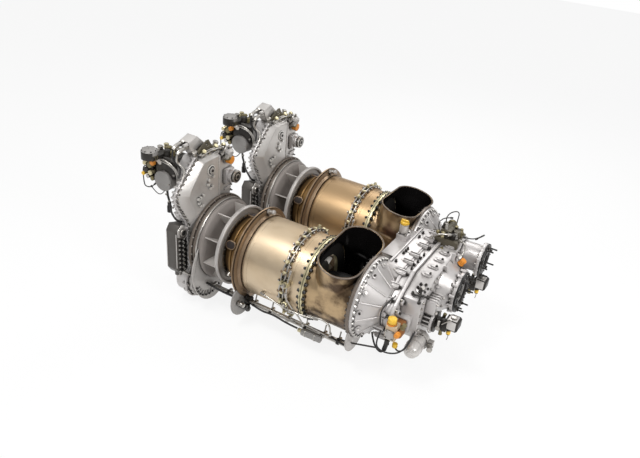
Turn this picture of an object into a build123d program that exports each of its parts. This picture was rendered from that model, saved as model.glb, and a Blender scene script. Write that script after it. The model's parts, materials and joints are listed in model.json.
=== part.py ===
"""Twin-pack turboshaft engine: two power sections side by side that drive one
combining gearbox.

Frame: +X points out of the main output drive, +Z is up, and the origin is the centre
of the main output drive face. The left power section lies at +Y, the right one at -Y.
Every length is in millimetres.
"""

import os
from math import acos, cos, pi, radians, sin, sqrt, tan

from build123d import *

# Driving dimensions: stations along X, measured back from the output drive face
SECTION_SPACING = 600.0
OUTPUT_REACH = 343.0
EXHAUST_LENGTH = 246.0
TURBINE_CASE_LENGTH = 97.0
BURNER_CASE_LENGTH = 265.0
COMPRESSOR_CASE_LENGTH = 130.0
INLET_WIDTH = 131.0
ACCESSORY_COVER_DEPTH = 30.0
ACCESSORY_CASE_DEPTH = 78.0

# Power section radii
INLET_RING_R = 228.0
INLET_LIP_R = 210.0
FIREWALL_R = 237.0
CASE_R = 200.0
CASE_WALL = 6.0
COMPRESSOR_CASE_R = 174.0
TURBINE_FLANGE_R = 208.0
EXHAUST_R = 190.0
EXHAUST_WALL = 4.0
GEARBOX_FLANGE_R = 196.0
FLANGE_T = 20.0
COMPRESSOR_BORE_R = 102.0
HUB_R = 62.0

# Exhaust stub: an obround port, longest across the engine, leaning out and forward
PORT_LENGTH = 398.0
PORT_WIDTH = 199.0
PORT_HEIGHT = 209.0
PORT_SET_BACK = 110.0
PORT_OFFSET = 13.0
PORT_LEAN_OUT = 5.2
PORT_LEAN_FORWARD = 9.8
STUB_DEPTH = 118.0
RIM_T = 6.0
CONE_R = 60.0

# Rotors and shafts
SPOOL_SHAFT_R = 18.0
POWER_SHAFT_R = 16.0
BULKHEAD_T = 16.0
END_PLAY = 0.5
RUNNING_CLEARANCE = 0.05
SHAFT_GAP = 4.0
SHAFT_SEAT = 20.0
TIP_CLEARANCE = 1.0
STAGE_COUNT = 3
STAGE_PITCH = 24.0
STAGE_BLADES = 8
BLADE_T = 3.0
BLADE_ANGLE = 35.0
IMPELLER_R = 148.0
IMPELLER_VANES = 8
TURBINE_R = 118.0
TURBINE_HUB_R = 82.0
TURBINE_BLADES = 12
TURBINE_DISC_T = 24.0

# Combining gearbox gears
PINION_TEETH = 8
REDUCTION_TEETH = 29
OUTPUT_TEETH = 34
GEAR_WIDTH = 25.0
TOOTH_HEIGHT = 0.7
TOOTH_ROOT = 0.95
BACKLASH = 0.5
OUTPUT_SHAFT_R = 40.0
OUTPUT_BORE_R = 24.0
OUTPUT_BORE_DEPTH = 60.0
REDUCTION_SHAFT_R = 20.0
CAVITY_GAP = 6.0

# Accessory gears
STARTER_MODULE = 6.0
SPOOL_PINION_TEETH = 8
STARTER_TEETH = 24
STARTER_SHAFT_R = 14.0

# Combining gearbox castings
INPUT_HOUSING_R = 180.0
INPUT_HOUSING_NOSE_R = 85.0
INPUT_HOUSING_WALL = 14.0
HOUSING_FLANGE_T = 12.0
BOWL_START = 24.0
REAR_CASE_END = 105.0
MIDDLE_CASE_T = 45.0
FRONT_CASE_T = 100.0
GEARBOX_TOP = 150.0
REAR_CASE_BACK = 36.0

# Drive pads on the gearbox front
OUTPUT_PAD_R = 100.0
OUTPUT_PAD_BORE_R = 52.0
FACE_PLATE_T = 8.0
TAIL_DRIVE_X = 26.0
TAIL_DRIVE_R = 86.0
TAIL_SHAFT_R = 20.0
GOVERNOR_PAD_Y = 200.0
GOVERNOR_PAD_Z = -66.0
GOVERNOR_PAD_X = -37.0
GOVERNOR_PAD_R = 50.0
STUD_R = 4.0
STUD_LENGTH = 34.0
OUTPUT_STUDS = 8
TAIL_STUDS = 5

# Stations worked out from the driving dimensions
HALF = SECTION_SPACING / 2
GEAR_MODULE = HALF / (PINION_TEETH / 2 + REDUCTION_TEETH + OUTPUT_TEETH / 2)
X_GEARBOX = -OUTPUT_REACH
X_EXHAUST = X_GEARBOX - EXHAUST_LENGTH
X_NOZZLES = X_EXHAUST - TURBINE_CASE_LENGTH
X_FIREWALL = X_NOZZLES - BURNER_CASE_LENGTH
X_LIP = X_FIREWALL - COMPRESSOR_CASE_LENGTH
X_INLET = X_LIP - INLET_WIDTH
X_COVER = X_INLET - FLANGE_T / 2
X_SPLIT = X_COVER - ACCESSORY_COVER_DEPTH
X_REAR = X_SPLIT - ACCESSORY_CASE_DEPTH
SIDES = {"left": 1, "right": -1}

PARTS = {}


def turned(profile, y=0.0, z=0.0):
    """Solid turned about a line along X, from its (x, radius) corners."""
    return Pos(0, y, z) * revolve(make_face(Polyline(*profile, close=True)), Axis.X)


def ring(x0, x1, outer, inner, y=0.0, z=0.0):
    """Plain ring about a line along X."""
    return turned([(x0, inner), (x0, outer), (x1, outer), (x1, inner)], y, z)


def disc(x0, x1, radius, y=0.0, z=0.0):
    """Round bar along X."""
    return Pos(x0, y, z) * extrude(Plane.YZ * Circle(radius), x1 - x0)


def plate(outline, x0, x1, taper=0.0):
    """Outline drawn in Y and Z, pushed from x0 to x1."""
    return Pos(x0, 0, 0) * extrude(Plane.YZ * outline, x1 - x0, taper=taper)


def block(x0, x1, y0, y1, z0, z1):
    """Box between two corners."""
    centre = Pos((x0 + x1) / 2, (y0 + y1) / 2, (z0 + z1) / 2)
    return centre * Box(x1 - x0, y1 - y0, z1 - z0)


def bar(start, end, radius):
    """Round bar between two points."""
    a, b = Vector(*start), Vector(*end)
    return extrude(Plane(a, z_dir=b - a) * Circle(radius), (b - a).length)


def polygon(points):
    """Closed outline in Y and Z."""
    return make_face(Polyline(*points, close=True))


def around(count, radius, start=0.0):
    """Points on a circle in Y and Z."""
    for i in range(count):
        angle = radians(start) + 2 * pi * i / count
        yield radius * cos(angle), radius * sin(angle)


def both(make):
    """The same piece on both power sections, as separate solids of one node."""
    return [Pos(0, side * HALF, 0) * make(side) for side in SIDES.values()]


def keep(name, *pieces):
    """Puts solids into the node of that name."""
    solids = [s for piece in pieces for s in piece.solids()]
    PARTS.setdefault(name, []).extend(solids)


# Gears

def gear_outline(teeth, module, first_tooth):
    """Gear outline with near-involute flanks; first_tooth is one tooth's angle."""
    pitch = module * teeth / 2
    tip = pitch + TOOTH_HEIGHT * module
    root = pitch - TOOTH_ROOT * module
    base = pitch * cos(radians(20))
    spread = tan(radians(20)) - radians(20)

    def half_angle(radius):
        lean = acos(min(1, base / radius))
        return pi / (2 * teeth) + spread - (tan(lean) - lean) - BACKLASH / 2 / pitch

    points = []
    for i in range(teeth):
        centre = radians(first_tooth) + 2 * pi * i / teeth
        for radius, sign in ((root, -1), (tip, -1), (tip, 1), (root, 1)):
            angle = centre + sign * half_angle(max(radius, base))
            points.append((radius * cos(angle), radius * sin(angle)))
    return polygon(points)


def gear(teeth, module, x0, width, first_tooth):
    return plate(gear_outline(teeth, module, first_tooth), x0, x0 + width)


def meshing(teeth, other_teeth, other_first, direction):
    """First tooth's angle of a gear that meshes with another one lying in that direction."""
    turned_back = (direction - other_first) * other_teeth / teeth
    return direction + 180 + turned_back + 180 / teeth


# Inlet

INLET_STRUTS = 9
FIRST_STRUT = -7.0
STRUT_T = 5.0
RING_BAND = 16.0
RING_STEP = 9.0
WALL_SLOPE = [(60.0, 205.0), (84.0, 132.0), (INLET_WIDTH, HUB_R)]
LIP_WIDTH = 25.0
LIP_WALL = 12.0


def inlet_case(side):
    """Rear inlet ring in three bands, the curved rear wall and the hub inside it."""
    back = X_COVER
    slope = [(back + x, r) for x, r in WALL_SLOPE]
    step = INLET_RING_R - RING_STEP
    bore = SPOOL_SHAFT_R + SHAFT_GAP
    return turned([
        (back, bore), (back, INLET_RING_R), (back + RING_BAND, INLET_RING_R),
        (back + RING_BAND, step), (back + 2 * RING_BAND, step),
        (back + 2 * RING_BAND, slope[0][1] + 4), (slope[0][0] - 6, slope[0][1] + 4)]
        + slope + [(slope[-1][0], bore)])


def inlet_lip(side):
    """Front inlet ring: a rounded lip with a flat wall behind it."""
    band = INLET_LIP_R - LIP_WALL
    front = X_LIP + LIP_WIDTH
    return turned([
        (X_LIP, COMPRESSOR_BORE_R), (X_LIP, band), (X_LIP + 4, INLET_LIP_R - 2),
        (X_LIP + 8, INLET_LIP_R), (front - 4, INLET_LIP_R), (front, band),
        (X_LIP + LIP_WALL, band), (X_LIP + LIP_WALL, COMPRESSOR_BORE_R)])


def inlet_struts(side):
    """Thin radial struts that tie the two inlet walls together."""
    seat = 0.2
    front = X_LIP - seat
    outer = INLET_LIP_R - LIP_WALL
    x1, r1 = X_COVER + WALL_SLOPE[0][0], WALL_SLOPE[0][1]
    x2, r2 = X_COVER + WALL_SLOPE[1][0], WALL_SLOPE[1][1]
    slope = (r2 - r1) / (x2 - x1)
    inner = r2 + 4
    corner = x1 + (outer - r1) / slope + seat * 2
    foot = x1 + (inner - r1) / slope + seat * 2
    strut = extrude(Plane.XY * make_face(Polyline(
        (corner, outer), (front, outer), (front, inner), (foot, inner), close=True)),
        STRUT_T / 2, both=True)
    return Compound([Rot(X=FIRST_STRUT + 360 * i / INLET_STRUTS) * strut
                     for i in range(INLET_STRUTS)])


keep("inlet_cases", *both(inlet_case))
keep("inlet_lips", *both(inlet_lip))
keep("inlet_struts", *both(inlet_struts))


# Compressor case, firewall flange and gas generator case

BLEED_VALVE_R = 22.0
BLEED_SET_BACK = 44.0
X_CASE = X_FIREWALL + 27.0
FIREWALL_LUG = (-140.0, -190.0, 96.0)
EXHAUST_LUG = (-95.0, -150.0, 92.0)
BLEED_ANGLE = 215.0


def bleed_bore(side, radius, inner, outer):
    """Round bar along the bleed valve's axis, at the lower outer side of the case."""
    angle = radians(BLEED_ANGLE)
    x = X_LIP + BLEED_SET_BACK
    start = (x, inner * cos(angle), inner * sin(angle))
    end = (x, outer * cos(angle), outer * sin(angle))
    return bar(start, end, radius)


def compressor_case(side):
    front = X_LIP + LIP_WALL
    end = X_FIREWALL - FLANGE_T / 2
    cavity = IMPELLER_R + 2
    shell = turned([
        (front, COMPRESSOR_BORE_R), (front, 148), (front + 46, COMPRESSOR_CASE_R - 6),
        (end, COMPRESSOR_CASE_R), (end, cavity), (end - 44, cavity),
        (end - 44, COMPRESSOR_BORE_R)])
    boss = bleed_bore(side, BLEED_VALVE_R + 8, 140, COMPRESSOR_CASE_R + 10)
    bore = bleed_bore(side, BLEED_VALVE_R, 128, COMPRESSOR_CASE_R + 20)
    return shell + (boss - disc(front, end, 139)) - bore


def firewall_flange(side):
    """Fire seal flange with the lug at its foot that the service lines pass."""
    start = X_FIREWALL - FLANGE_T / 2
    inner = COMPRESSOR_CASE_R - 22
    y, z, r = FIREWALL_LUG
    flange = turned([
        (start, inner), (start, FIREWALL_R - 6), (start + 6, FIREWALL_R),
        (start + 18, FIREWALL_R), (X_CASE, CASE_R + 6), (X_CASE, inner)])
    lug = disc(start + 6, start + 18, r, y, z) - disc(start, X_CASE, FIREWALL_R - 2)
    return flange + lug


def gas_generator_case(side):
    end = X_EXHAUST - FLANGE_T / 2
    inner = CASE_R - CASE_WALL
    journal = SPOOL_SHAFT_R + RUNNING_CLEARANCE
    return turned([
        (X_CASE, journal), (X_CASE, CASE_R), (end, CASE_R), (end, inner),
        (X_CASE + BULKHEAD_T, inner), (X_CASE + BULKHEAD_T, journal)])


SHROUD_WALL = 6.0
LINER_WALL = 3.0
LINER_LENGTH = 150.0
NOZZLES = 14
NOZZLE_R = 9.0
NOZZLE_HEIGHT = 24.0
MANIFOLD_R = 4.5


def fuel_manifold(side):
    """Nozzle adaptors round the case, joined by straight transfer tubes."""
    heads = CASE_R + NOZZLE_HEIGHT - 8
    tubes = RegularPolygon(heads + MANIFOLD_R, NOZZLES)
    tubes -= RegularPolygon(heads - MANIFOLD_R, NOZZLES)
    body = plate(tubes, X_NOZZLES - MANIFOLD_R, X_NOZZLES + MANIFOLD_R)
    post = block(X_NOZZLES - NOZZLE_R, X_NOZZLES + NOZZLE_R, CASE_R - 6, CASE_R + NOZZLE_HEIGHT,
                 -NOZZLE_R, NOZZLE_R)
    for i in range(NOZZLES):
        body += Rot(X=360 * i / NOZZLES) * post
    return body - disc(X_NOZZLES - 30, X_NOZZLES + 30, CASE_R)


def turbine_flange(side):
    """Bolted flange with the shroud that the two turbine wheels run in."""
    start = X_EXHAUST - FLANGE_T / 2
    shroud = TURBINE_R + TIP_CLEARANCE
    return turned([(X_NOZZLES + 10, shroud), (X_NOZZLES + 10, shroud + SHROUD_WALL),
                   (start, shroud + SHROUD_WALL), (start, TURBINE_FLANGE_R),
                   (start + FLANGE_T, TURBINE_FLANGE_R), (start + FLANGE_T, shroud)])


def combustion_liner(side):
    """Annular burner liner with a closed front dome and an open turbine end."""
    front, end = X_NOZZLES - LINER_LENGTH, X_NOZZLES + 10
    outer, wall = CASE_R - 20, LINER_WALL
    inner = TURBINE_R + TIP_CLEARANCE + SHROUD_WALL - wall
    return turned([(front, inner), (front, outer), (end, outer), (end, outer - wall),
                   (front + wall, outer - wall), (front + wall, inner + wall),
                   (end, inner + wall), (end, inner)])


keep("compressor_cases", *both(compressor_case))
keep("firewall_flanges", *both(firewall_flange))
keep("gas_generator_cases", *both(gas_generator_case))
keep("fuel_manifolds", *both(fuel_manifold))
keep("turbine_flanges", *both(turbine_flange))
keep("combustion_liners", *both(combustion_liner))


# Exhaust duct

def port_plane(side, drop=0.0):
    """Plane of the exhaust rim, or of a section further down the stub."""
    lean, out = radians(PORT_LEAN_FORWARD), radians(PORT_LEAN_OUT)
    normal = Vector(sin(lean), side * sin(out) * cos(lean), cos(out) * cos(lean))
    across = Vector(0, 1, 0)
    centre = Vector(X_GEARBOX - PORT_SET_BACK, side * PORT_OFFSET, PORT_HEIGHT) - normal * drop
    return Plane(centre, x_dir=across - normal * across.dot(normal), z_dir=normal)


def stub(side, shrink, above=0.0):
    """Exhaust stub: a slightly waisted obround tube down into the drum."""
    top = port_plane(side, -above) * SlotOverall(PORT_LENGTH - 2 * shrink, PORT_WIDTH - 2 * shrink)
    waist = port_plane(side, STUB_DEPTH) * SlotOverall(
        PORT_LENGTH - 46 - 2 * shrink, PORT_WIDTH - 16 - 2 * shrink)
    return loft([top.face(), waist.face()])


def exhaust_duct(side):
    """Exhaust drum with its stub, front wall, gearbox flange and the lug at its foot."""
    start = X_EXHAUST + FLANGE_T / 2
    wall = X_GEARBOX - 10
    y, z, r = EXHAUST_LUG
    outer = disc(start, X_GEARBOX, EXHAUST_R) + stub(side, 0)
    inner = disc(start - 1, wall, EXHAUST_R - EXHAUST_WALL) + stub(side, EXHAUST_WALL, 1)
    rim_top = port_plane(side, 0) * SlotOverall(PORT_LENGTH + 2 * RIM_T, PORT_WIDTH + 2 * RIM_T)
    rim = extrude(rim_top, -8)
    flange = disc(wall, X_GEARBOX, GEARBOX_FLANGE_R) + disc(wall, X_GEARBOX, r, y, z)
    return outer + rim + flange - inner - disc(wall - 1, X_GEARBOX + 1, CONE_R)


def exhaust_cone(side):
    """Inner cone that carries the power turbine bearings through the exhaust."""
    start = X_EXHAUST + FLANGE_T / 2 + 20
    inner = POWER_SHAFT_R + RUNNING_CLEARANCE
    return turned([(start, inner), (start, CONE_R - 14), (start + 60, CONE_R),
                   (X_GEARBOX, CONE_R), (X_GEARBOX, inner)])


for name, side in SIDES.items():
    keep(f"{name}_exhaust_duct", Pos(0, side * HALF, 0) * exhaust_duct(side))
keep("exhaust_cones", *both(exhaust_cone))


# Rotors

def bladed_disc(x0, width, hub, tip, count, angle):
    """Wheel with one flat land per blade and straight blades set at an angle."""
    land = hub * cos(pi / count)
    rim = RegularPolygon(hub, count, rotation=180 / count)
    body = plate(rim, -width / 2, width / 2)
    reach = sqrt(tip ** 2 - (width / 2) ** 2)
    blade = block(-width, width, land - 4, reach, -BLADE_T / 2, BLADE_T / 2)
    blade = (Rot(Y=angle) * blade) & block(-width / 2, width / 2, 0, tip, -width, width)
    for i in range(count):
        body += Rot(X=360 * i / count) * blade
    return Pos(x0 + width / 2, 0, 0) * body


X_STAGES = X_LIP + 7.0
X_IMPELLER = X_FIREWALL - FLANGE_T / 2 - 40.0
X_GAS_TURBINE = X_NOZZLES + 20.0
X_POWER_TURBINE = X_GAS_TURBINE + TURBINE_DISC_T + 14.0
X_SPOOL_PINION = X_COVER - 24.0 - GEAR_WIDTH
X_GEARS = X_GEARBOX + REAR_CASE_END + 5.0


def compressor_rotor(side):
    """Three axial stages and a centrifugal wheel on one hollow hub."""
    tip = COMPRESSOR_BORE_R - TIP_CLEARANCE
    body = disc(X_STAGES, X_IMPELLER, 46)
    for i in range(STAGE_COUNT):
        body += bladed_disc(X_STAGES + i * STAGE_PITCH, 16, 58, tip, STAGE_BLADES, BLADE_ANGLE)
    wheel = turned([(X_IMPELLER, 0), (X_IMPELLER, 60), (X_IMPELLER + 34, IMPELLER_R - 8),
                    (X_IMPELLER + 34, 0)])
    vane = extrude(Plane.XY * make_face(Polyline(
        (X_IMPELLER + 2, 56), (X_IMPELLER + 2, 100), (X_IMPELLER + 14, IMPELLER_R - 6),
        (X_IMPELLER + 30, IMPELLER_R - 10), (X_IMPELLER + 30, 56), close=True)),
        BLADE_T / 2, both=True)
    body += wheel
    for i in range(IMPELLER_VANES):
        body += Rot(X=360 * i / IMPELLER_VANES) * vane
    return body - disc(X_STAGES - 1, X_IMPELLER + 40, SPOOL_SHAFT_R)


def gas_turbine(side):
    """Compressor turbine wheel, its shaft and the pinion that drives the accessories."""
    wheel = bladed_disc(X_GAS_TURBINE, TURBINE_DISC_T, TURBINE_HUB_R, TURBINE_R,
                        TURBINE_BLADES, -BLADE_ANGLE)
    shaft = disc(X_REAR + SHAFT_SEAT, X_GAS_TURBINE + 2, SPOOL_SHAFT_R)
    pinion = gear(SPOOL_PINION_TEETH, STARTER_MODULE, X_SPOOL_PINION, GEAR_WIDTH, 90)
    return wheel + shaft + pinion


def power_turbine(side):
    """Power turbine wheel, its shaft through the exhaust cone and the gearbox pinion."""
    wheel = bladed_disc(X_POWER_TURBINE, TURBINE_DISC_T, TURBINE_HUB_R, TURBINE_R,
                        TURBINE_BLADES, BLADE_ANGLE)
    shaft = disc(X_POWER_TURBINE + 2, X_GEARS + GEAR_WIDTH, POWER_SHAFT_R - 1.5)
    outward = 0 if side > 0 else 180
    first = meshing(PINION_TEETH, REDUCTION_TEETH, reduction_first_tooth(side), outward)
    pinion = gear(PINION_TEETH, GEAR_MODULE, X_GEARS, GEAR_WIDTH, first)
    return wheel + shaft + pinion + disc(X_POWER_TURBINE + 2, X_GEARS - 12, POWER_SHAFT_R)


REDUCTION_Y = HALF - GEAR_MODULE * (PINION_TEETH + REDUCTION_TEETH) / 2
X_MIDDLE = X_GEARBOX + REAR_CASE_END
X_FRONT = X_MIDDLE + MIDDLE_CASE_T
X_FRONT_FACE = X_FRONT + FRONT_CASE_T


def reduction_first_tooth(side):
    return meshing(REDUCTION_TEETH, OUTPUT_TEETH, 0, 0 if side > 0 else 180)


def reduction_gear(side):
    """Reduction gear with its freewheel clutch drum and stub shaft."""
    wheel = gear(REDUCTION_TEETH, GEAR_MODULE, X_GEARS, GEAR_WIDTH, reduction_first_tooth(side))
    drum = disc(X_GEARS + GEAR_WIDTH, X_FRONT - 4, 44)
    return wheel + drum + disc(X_GEARS, X_FRONT_FACE - 12, REDUCTION_SHAFT_R)


for name, side in SIDES.items():
    spot = Pos(0, side * HALF, 0)
    keep(f"{name}_compressor_rotor", spot * compressor_rotor(side))
    keep(f"{name}_gas_turbine", spot * gas_turbine(side))
    keep(f"{name}_power_turbine", spot * power_turbine(side))
    keep(f"{name}_reduction_gear", Pos(0, side * REDUCTION_Y, 0) * reduction_gear(side))
    piston = bleed_bore(side, BLEED_VALVE_R - RUNNING_CLEARANCE, 140, COMPRESSOR_CASE_R + 6)
    keep(f"{name}_bleed_piston", spot * piston)


def output_shaft():
    """Output gear and the splined output sleeve that the drive shaft slides into."""
    wheel = gear(OUTPUT_TEETH, GEAR_MODULE, X_GEARS, GEAR_WIDTH, 0)
    start = X_GEARS - 40
    shaft = disc(start, -FACE_PLATE_T, OUTPUT_SHAFT_R)
    bore = disc(-FACE_PLATE_T - OUTPUT_BORE_DEPTH, 1, OUTPUT_BORE_R)
    return wheel + shaft - bore


keep("output_shaft", output_shaft())


# Accessory drive case

CASE_TOP = 472.0
CASE_CIRCLE_R = 190.0
SUMP = (-100.0, -210.0, 115.0)
SPLIT_FLANGE_T = 10.0
BODY_INSET = 14.0
TOWER_FLARE = 15.0
CONTROL_SHELF_Y = 168.0
CONTROL_SHELF_Z = 180.0
SHELF_LAYER = 18.0
COVER_BEVEL = 18.0
COVER_BEVEL_ANGLE = 58.0
RECESS = 20.0
GEAR_GAP = 6.0
STARTER_Z = STARTER_MODULE * (SPOOL_PINION_TEETH + STARTER_TEETH) / 2
STARTER_PAD_R = 64.0
STARTER_PAD_T = 30.0
STARTER_SOCKET_DEPTH = 28.0
STARTER_SOCKET_R = 9.0
STARTER_PCD = 104.0
STARTER_HOLES = 4
STARTER_HOLE_R = 4.5


def accessory_outline(inset=0.0):
    """Outline of the split flange, seen along X: round below, a tall tower above."""
    tower = polygon([(-CASE_CIRCLE_R, 0), (-CASE_CIRCLE_R - TOWER_FLARE, 150), (-268, 262),
                     (-277, 316), (-245, 358), (-132, CASE_TOP - 6), (-110, CASE_TOP),
                     (40, CASE_TOP), (112, 436), (150, 345), (134, 160), (0, 0)])
    y, z, r = SUMP
    outline = Circle(CASE_CIRCLE_R) + tower + Pos(y, z) * Circle(r)
    return offset(outline, amount=-inset) if inset else outline


def starter_cavity():
    """Space inside the case for the spool pinion and the starter gear."""
    reach = STARTER_MODULE * (STARTER_TEETH / 2 + TOOTH_HEIGHT) + GEAR_GAP
    start, end = X_SPOOL_PINION - 5, X_SPOOL_PINION + GEAR_WIDTH + 5
    low = STARTER_MODULE * (SPOOL_PINION_TEETH / 2 + TOOTH_HEIGHT) + GEAR_GAP
    return block(start, end, -reach, reach, -low, STARTER_Z + reach)


def accessory_case(side):
    """Rear half of the accessory case, with the starter pad and the sump."""
    body = plate(accessory_outline(BODY_INSET), X_REAR, X_SPLIT - SPLIT_FLANGE_T)
    layer = X_SPLIT - SPLIT_FLANGE_T - SHELF_LAYER
    body -= block(X_REAR - 1, layer, -CASE_TOP, -CONTROL_SHELF_Y, CONTROL_SHELF_Z, CASE_TOP)
    flange = plate(accessory_outline(), X_SPLIT - SPLIT_FLANGE_T, X_SPLIT)
    bores = disc(X_REAR + SHAFT_SEAT - END_PLAY, X_SPLIT, SPOOL_SHAFT_R + RUNNING_CLEARANCE)
    bores += disc(X_REAR, X_SPLIT, STARTER_SHAFT_R + RUNNING_CLEARANCE, 0, STARTER_Z)
    return body + flange - bores - starter_cavity()


def starter_pad(side):
    """Adaptor that carries the starter on the back of the accessory case."""
    body = ring(X_REAR - STARTER_PAD_T, X_REAR, STARTER_PAD_R, STARTER_SHAFT_R + RUNNING_CLEARANCE,
                0, STARTER_Z)
    for y, z in around(STARTER_HOLES, STARTER_PCD / 2, 45):
        body -= disc(X_REAR - STARTER_PAD_T, X_REAR, STARTER_HOLE_R, y, z + STARTER_Z)
    return body


def accessory_cover(side):
    """Front half of the accessory case: a chamfered cover, stepped back on its inner side."""
    bend = X_COVER - COVER_BEVEL
    body = plate(accessory_outline(BODY_INSET), X_SPLIT, bend)
    body += plate(accessory_outline(BODY_INSET), bend, X_COVER, COVER_BEVEL_ANGLE)
    step = block(X_SPLIT + SPLIT_FLANGE_T, X_COVER + 1, 16, 200, INLET_RING_R - 30, 600)
    bore = disc(X_SPLIT - 1, X_COVER + 1, SPOOL_SHAFT_R + SHAFT_GAP)
    return body - step - bore - starter_cavity()


def starter_gear():
    """Starter drive gear, its shaft and the splined socket at the rear pad."""
    first = meshing(STARTER_TEETH, SPOOL_PINION_TEETH, 90, 90)
    wheel = gear(STARTER_TEETH, STARTER_MODULE, X_SPOOL_PINION, GEAR_WIDTH, first)
    mouth = X_REAR - STARTER_PAD_T + 2
    shaft = disc(mouth, X_SPOOL_PINION + GEAR_WIDTH, STARTER_SHAFT_R)
    socket = disc(mouth, mouth + STARTER_SOCKET_DEPTH, STARTER_SOCKET_R)
    return Pos(0, 0, STARTER_Z) * (wheel + shaft - socket)


keep("accessory_cases", *both(accessory_case))
keep("starter_pads", *both(starter_pad))
keep("accessory_covers", *both(accessory_cover))
for name, side in SIDES.items():
    keep(f"{name}_starter_gear", Pos(0, side * HALF, 0) * starter_gear())


# Accessories on the accessory case

CONTROL_X = X_REAR - 63.0
CONTROL_Z = 327.0
CONTROL_FACE = -190.0
CONTROL_R = 50.0
CONTROL_LENGTH = 112.0
CONTROL_WIDTH = 112.0
CONTROL_TOP = CONTROL_Z + 120.0
CONTROL_COLLAR = 44.0
VALVE_BLOCK_LENGTH = 62.0
FITTING_REACH = 34.0
FITTING_R = 9.0
BELLOWS_X = X_REAR - 90.0
BELLOWS_Y = -253.0
BELLOWS_R = 38.0
BELLOWS_HEIGHT = 38.0
ARM_T = 17.0
KNOB_R = 13.0
KNOB_TOP = CONTROL_TOP + 30.0
LEVER_X = CONTROL_X - 20.0
LEVER_Z = CONTROL_Z + 92.0
LEVER_SHAFT_R = 6.0
LEVER_SHAFT_DEPTH = 22.0
LEVER_HUB_R = 13.0
LEVER_ARM = 48.0
LEVER_T = 6.0
SEAT_GAP = 0.4
TANK_T = 76.0
TANK_DEPTH = 62.0
TANK_HALF_HEIGHT = 128.0
TANK_CORNER = 22.0
TANK_CAP_R = 22.0
DRAIN_R = 12.0


def control_lever_shaft(radius, reach):
    """Bar along the fuel control lever's pivot."""
    return bar((LEVER_X, CONTROL_FACE - reach, LEVER_Z),
               (LEVER_X, CONTROL_FACE + LEVER_SHAFT_DEPTH, LEVER_Z), radius)


def fuel_control(side):
    """Fuel control: metering cylinder, body, valve block, bellows housing and pump."""
    far = CONTROL_FACE + CONTROL_WIDTH
    back = X_REAR - CONTROL_LENGTH
    body = block(back, X_REAR, CONTROL_FACE, far, CONTROL_Z + 20, CONTROL_TOP)
    body = chamfer(body.edges().filter_by(Axis.X), 10)
    metering = bar((CONTROL_X, CONTROL_FACE - 3, CONTROL_Z), (CONTROL_X, far + 12, CONTROL_Z), CONTROL_R)
    collar = bar((CONTROL_X, far + 12 - CONTROL_COLLAR, CONTROL_Z), (CONTROL_X, far + 12, CONTROL_Z),
                 CONTROL_R + 6)
    pump = block(X_REAR - 84, X_REAR, far - 18, far + 56, CONTROL_Z - 65, CONTROL_Z + 45)
    valves = block(back - VALVE_BLOCK_LENGTH, back + 20, CONTROL_FACE + 14, far - 14,
                   CONTROL_Z - 16, CONTROL_Z + 84)
    valves = chamfer(valves.edges().filter_by(Axis.Y), 12)
    inlet = bar((back - VALVE_BLOCK_LENGTH - FITTING_REACH, CONTROL_FACE + 40, CONTROL_Z + 4),
                (back, CONTROL_FACE + 40, CONTROL_Z + 4), FITTING_R)
    bellows = bar((BELLOWS_X, BELLOWS_Y, CONTROL_TOP + 8),
                  (BELLOWS_X, BELLOWS_Y, CONTROL_TOP + 8 + BELLOWS_HEIGHT), BELLOWS_R)
    arm = block(BELLOWS_X - 20, BELLOWS_X + 20, BELLOWS_Y, CONTROL_FACE + 50,
                CONTROL_TOP - 5, CONTROL_TOP - 5 + ARM_T)
    knob = bar((CONTROL_X, CONTROL_FACE + 25, CONTROL_TOP - 10),
               (CONTROL_X, CONTROL_FACE + 25, KNOB_TOP), KNOB_R)
    bore = control_lever_shaft(LEVER_SHAFT_R + RUNNING_CLEARANCE, 10)
    return body + metering + collar + pump + valves + inlet + arm + bellows + knob - bore


def fuel_control_lever():
    """Lever that sets the fuel control, with its pivot shaft."""
    shaft = control_lever_shaft(LEVER_SHAFT_R, LEVER_T + 2)
    hub = bar((LEVER_X, CONTROL_FACE - LEVER_T - 2, LEVER_Z),
              (LEVER_X, CONTROL_FACE - SEAT_GAP, LEVER_Z), LEVER_HUB_R)
    arm = block(LEVER_X - LEVER_ARM, LEVER_X, CONTROL_FACE - LEVER_T - 2, CONTROL_FACE - 2,
                LEVER_Z - 5, LEVER_Z + 5)
    return shaft + hub + arm


def oil_tank(side):
    """Oil tank and cooler box on the outer side of the accessory case."""
    y, out = -CASE_CIRCLE_R - SEAT_GAP, -CASE_CIRCLE_R - TANK_T
    front = X_SPLIT - SPLIT_FLANGE_T
    low, high = -TANK_HALF_HEIGHT, TANK_HALF_HEIGHT
    outline = polygon([(y, low), (y, high), (out + TANK_CORNER, high + 18), (out, high - 12),
                       (out, low + 32), (out + TANK_CORNER, low)])
    body = plate(outline, front - TANK_DEPTH, front)
    cap = disc(front, front + 14, TANK_CAP_R, y - 34, high - 32)
    drain_x, drain_y = front - TANK_DEPTH / 2, y - 40
    drain = bar((drain_x, drain_y, low - TANK_CORNER), (drain_x, drain_y, low), DRAIN_R)
    return body + cap + drain


def exciter_box(side):
    """Slanted electrical box and the two cable elbows on top of the accessory case."""
    top = CASE_TOP - BODY_INSET
    outline = polygon([(-100, top), (-20, top), (-12, top + 24), (-96, top + 100),
                       (-150, top + 84), (-150, top + 56)])
    box = plate(outline, X_REAR + 6, X_SPLIT - SPLIT_FLANGE_T - 6)
    left, right = [bar((x, -176, top + 70), (x, -140, top + 70), 9)
                   for x in (X_REAR + 22, X_REAR + 48)]
    return box + left + right


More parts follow.
